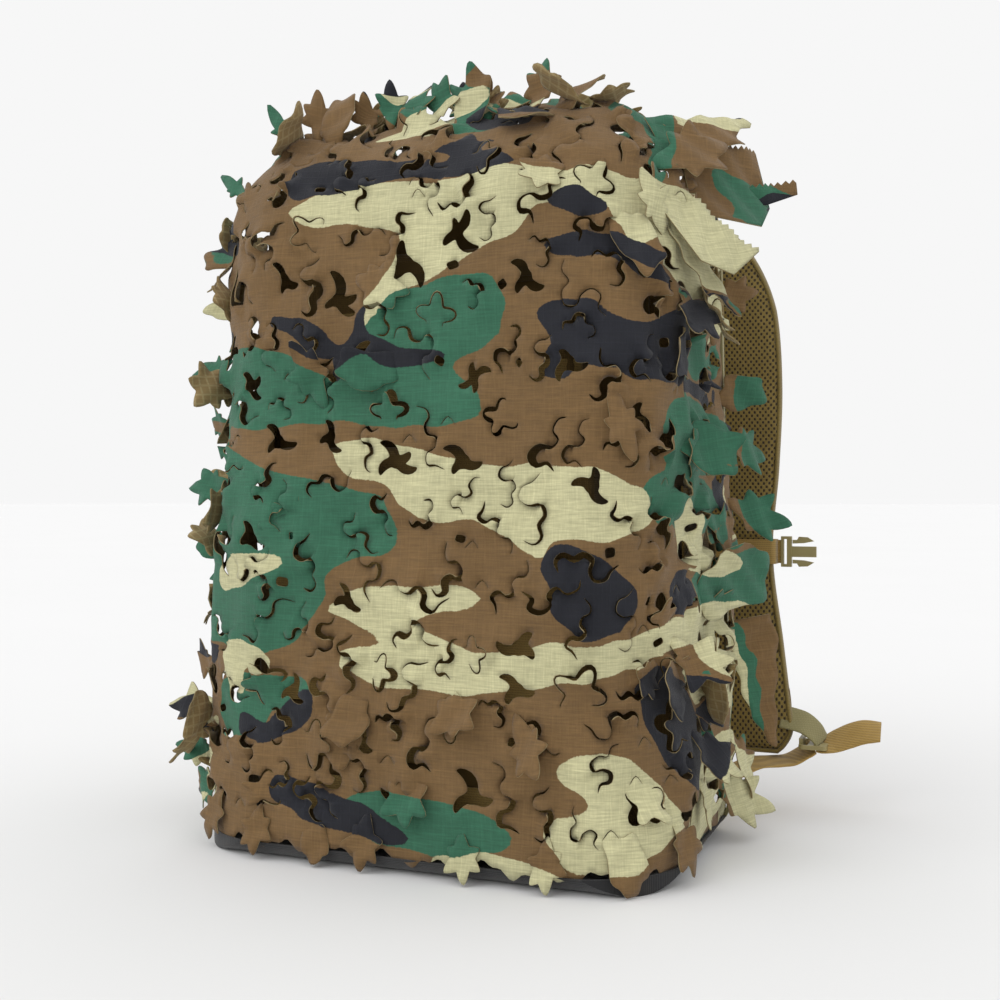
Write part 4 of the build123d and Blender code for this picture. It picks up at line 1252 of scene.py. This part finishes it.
def make_straps(mats):
    """Both straps; the left pad is the right one's mirror."""
    line, _, inward = strap_frame()
    right = strap_pad(mats, line, inward)
    left = mirror_x(right, "strap_pad_left")
    make_strap("right", 1, right, mats)
    make_strap("left", -1, left, mats)


# ---- the pack under the cover ----
def skin_form(node, edge, corner, base_corner, taper):
    """A form that fills a CAD node's box."""
    low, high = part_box(node)
    return Form(half=high.x, base=low.z, top=high.z, front=low.y, rear=high.y, edge=edge, corner=corner,
                base_corner=base_corner, taper=taper)


def make_pack(mats):
    """Soft skins of the bag and its pockets, and the padded back."""
    for name, node, edge, corner, low_corner, taper, wave, also in (
            ("bag_skin", "bag_shell", 0.022, 0.066, 0.014, 0.056, 0.003, ["front_panel"]),
            ("lower_pocket_skin", "lower_pocket", 0.012, 0.022, 0.014, 0.031, 0.0022, []),
            ("upper_pocket_skin", "upper_pocket", 0.012, 0.022, 0.014, 0.028, 0.002, [])):
        skin = soft_skin(name, skin_form(node, edge, corner, low_corner, taper), 0.0065, wave, mats["nylon"])
        stand_for(skin, "pack", "pack_nylon", node, *also)
    for name, node in (("back_cushions", "back_pads"), ("lumbar_cushion", "lumbar_pad")):
        pad = add_object(name, copy_of(name, node), [mats["mesh"]])
        if SIMULATED:
            swell(pad, 0.005, 0.005)
        stand_for(pad, "pack", "back_mesh", node)


def finish_nodes(mats):
    """Gives the CAD nodes that stay in view their materials."""
    by_slot = {"camouflage_cloth": "reverse", "black_cloth": "base", "hem_tape": "hem",
               "elastic_cord": "cord", "back_mesh": "mesh", "frame_sheet": "sheet", "zip_tape": "tape",
               "webbing": "webbing", "buckle_plastic": "plastic", "grip_rubber": "rubber",
               "zip_metal": "coil", "pull_cord": "pull"}
    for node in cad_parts.values():
        for place, old in enumerate(node.data.materials):
            node.data.materials[place] = mats[by_slot.get(old.name.split(".")[0], "nylon")]
        if not len(node.data.materials):
            node.data.materials.append(mats["nylon"])


# ---- studio ----
def make_studio():
    """Pale floor, soft light and the camera."""
    scene = bpy.context.scene
    s = Shader("studio_floor", roughness=0.95, specular=0.05)
    tint = s.mix(s.noise(s.place(), 1.5), srgb(226, 226, 226), srgb(229, 229, 229))
    material = s.finish(tint, s.noise(s.place(), 60), 0.0001, 0.1)
    floor = mesh_from("floor", [(-60, -40, 0), (60, -40, 0), (60, 80, 0), (-60, 80, 0)], [(0, 1, 2, 3)])
    add_object("floor", floor, [material], smooth=False)
    world = bpy.data.worlds.new("studio")
    world.use_nodes = True
    world.node_tree.nodes["Background"].inputs[0].default_value = (1, 1, 1, 1)
    world.node_tree.nodes["Background"].inputs[1].default_value = 0.93
    scene.world = world
    lamps = (("key", (-0.7, -1.3, 1.5), 0.95, 50), ("top", (0.3, 0.4, 2.0), 0.3, 70))
    for name, place, strength, spread in lamps:
        data = bpy.data.lights.new(name, "SUN")
        data.energy = strength
        data.angle = radians(spread)
        lamp = bpy.data.objects.new(name, data)
        lamp.rotation_euler = (-Vector(place)).to_track_quat("-Z", "Y").to_euler()
        scene.collection.objects.link(lamp)
    turn = radians(21.4)
    right = Vector((cos(turn), sin(turn), 0))
    ahead = Vector((-sin(turn), cos(turn), 0))
    data = bpy.data.cameras.new("camera")
    data.sensor_width = 36
    data.lens = 44.2
    camera = bpy.data.objects.new("camera", data)
    camera.location = -ahead * 0.904 + right * 0.0288 + Vector((0, 0, 0.249))
    camera.rotation_euler = ahead.to_track_quat("-Z", "Y").to_euler()
    scene.collection.objects.link(camera)
    scene.camera = camera
    scene.view_settings.view_transform = "Standard"


make_studio()
MATS = {
    "face": camouflage_cloth(), "reverse": reverse_cloth(), "edge": cut_edge(), "base": base_cloth(),
    "nylon": woven("pack_nylon", COYOTE, srgb(140, 112, 60), 0.0014),
    "hem": woven("hem_tape", srgb(156, 148, 106), srgb(184, 176, 132), 0.0012),
    "binding": ribbed("edge_binding", srgb(118, 100, 48), srgb(146, 126, 64), 0.0012),
    "tail": ribbed("worn_webbing", srgb(166, 134, 68), srgb(190, 160, 96), 0.0016),
    "tab": woven("tab_cloth", srgb(150, 142, 98), srgb(172, 164, 120), 0.0012),
    "cord": ribbed("elastic_cord", srgb(178, 172, 128), srgb(206, 200, 160), 0.0012),
    "mesh": spacer_mesh(),
    "sheet": plastic("frame_sheet", srgb(40, 40, 42), srgb(58, 58, 60), 0.5),
    "tape": woven("zip_tape", srgb(92, 74, 38), srgb(112, 92, 52), 0.0009),
    "webbing": ribbed("webbing", srgb(152, 124, 66), srgb(178, 150, 90)),
    "plastic": plastic("buckle_plastic", srgb(142, 130, 84), srgb(164, 152, 106)),
    "rubber": plastic("grip_rubber", srgb(72, 58, 32), srgb(92, 76, 46), 0.7),
    "coil": zip_coil("zip_coil", srgb(120, 104, 62)),
    "pull": ribbed("pull_cord", srgb(120, 98, 52), srgb(150, 128, 78), 0.0011),
}
CLOTH = [MATS["face"], MATS["reverse"], MATS["edge"]]
finish_nodes(MATS)
cover = make_cover(CLOTH)
loose = [make_leaves(name, node, seen + strewn(*scatter), CLOTH) for name, node, seen, scatter in LEAF_GROUPS]
make_straps(MATS)
make_pack(MATS)

bpy.context.view_layer.update()
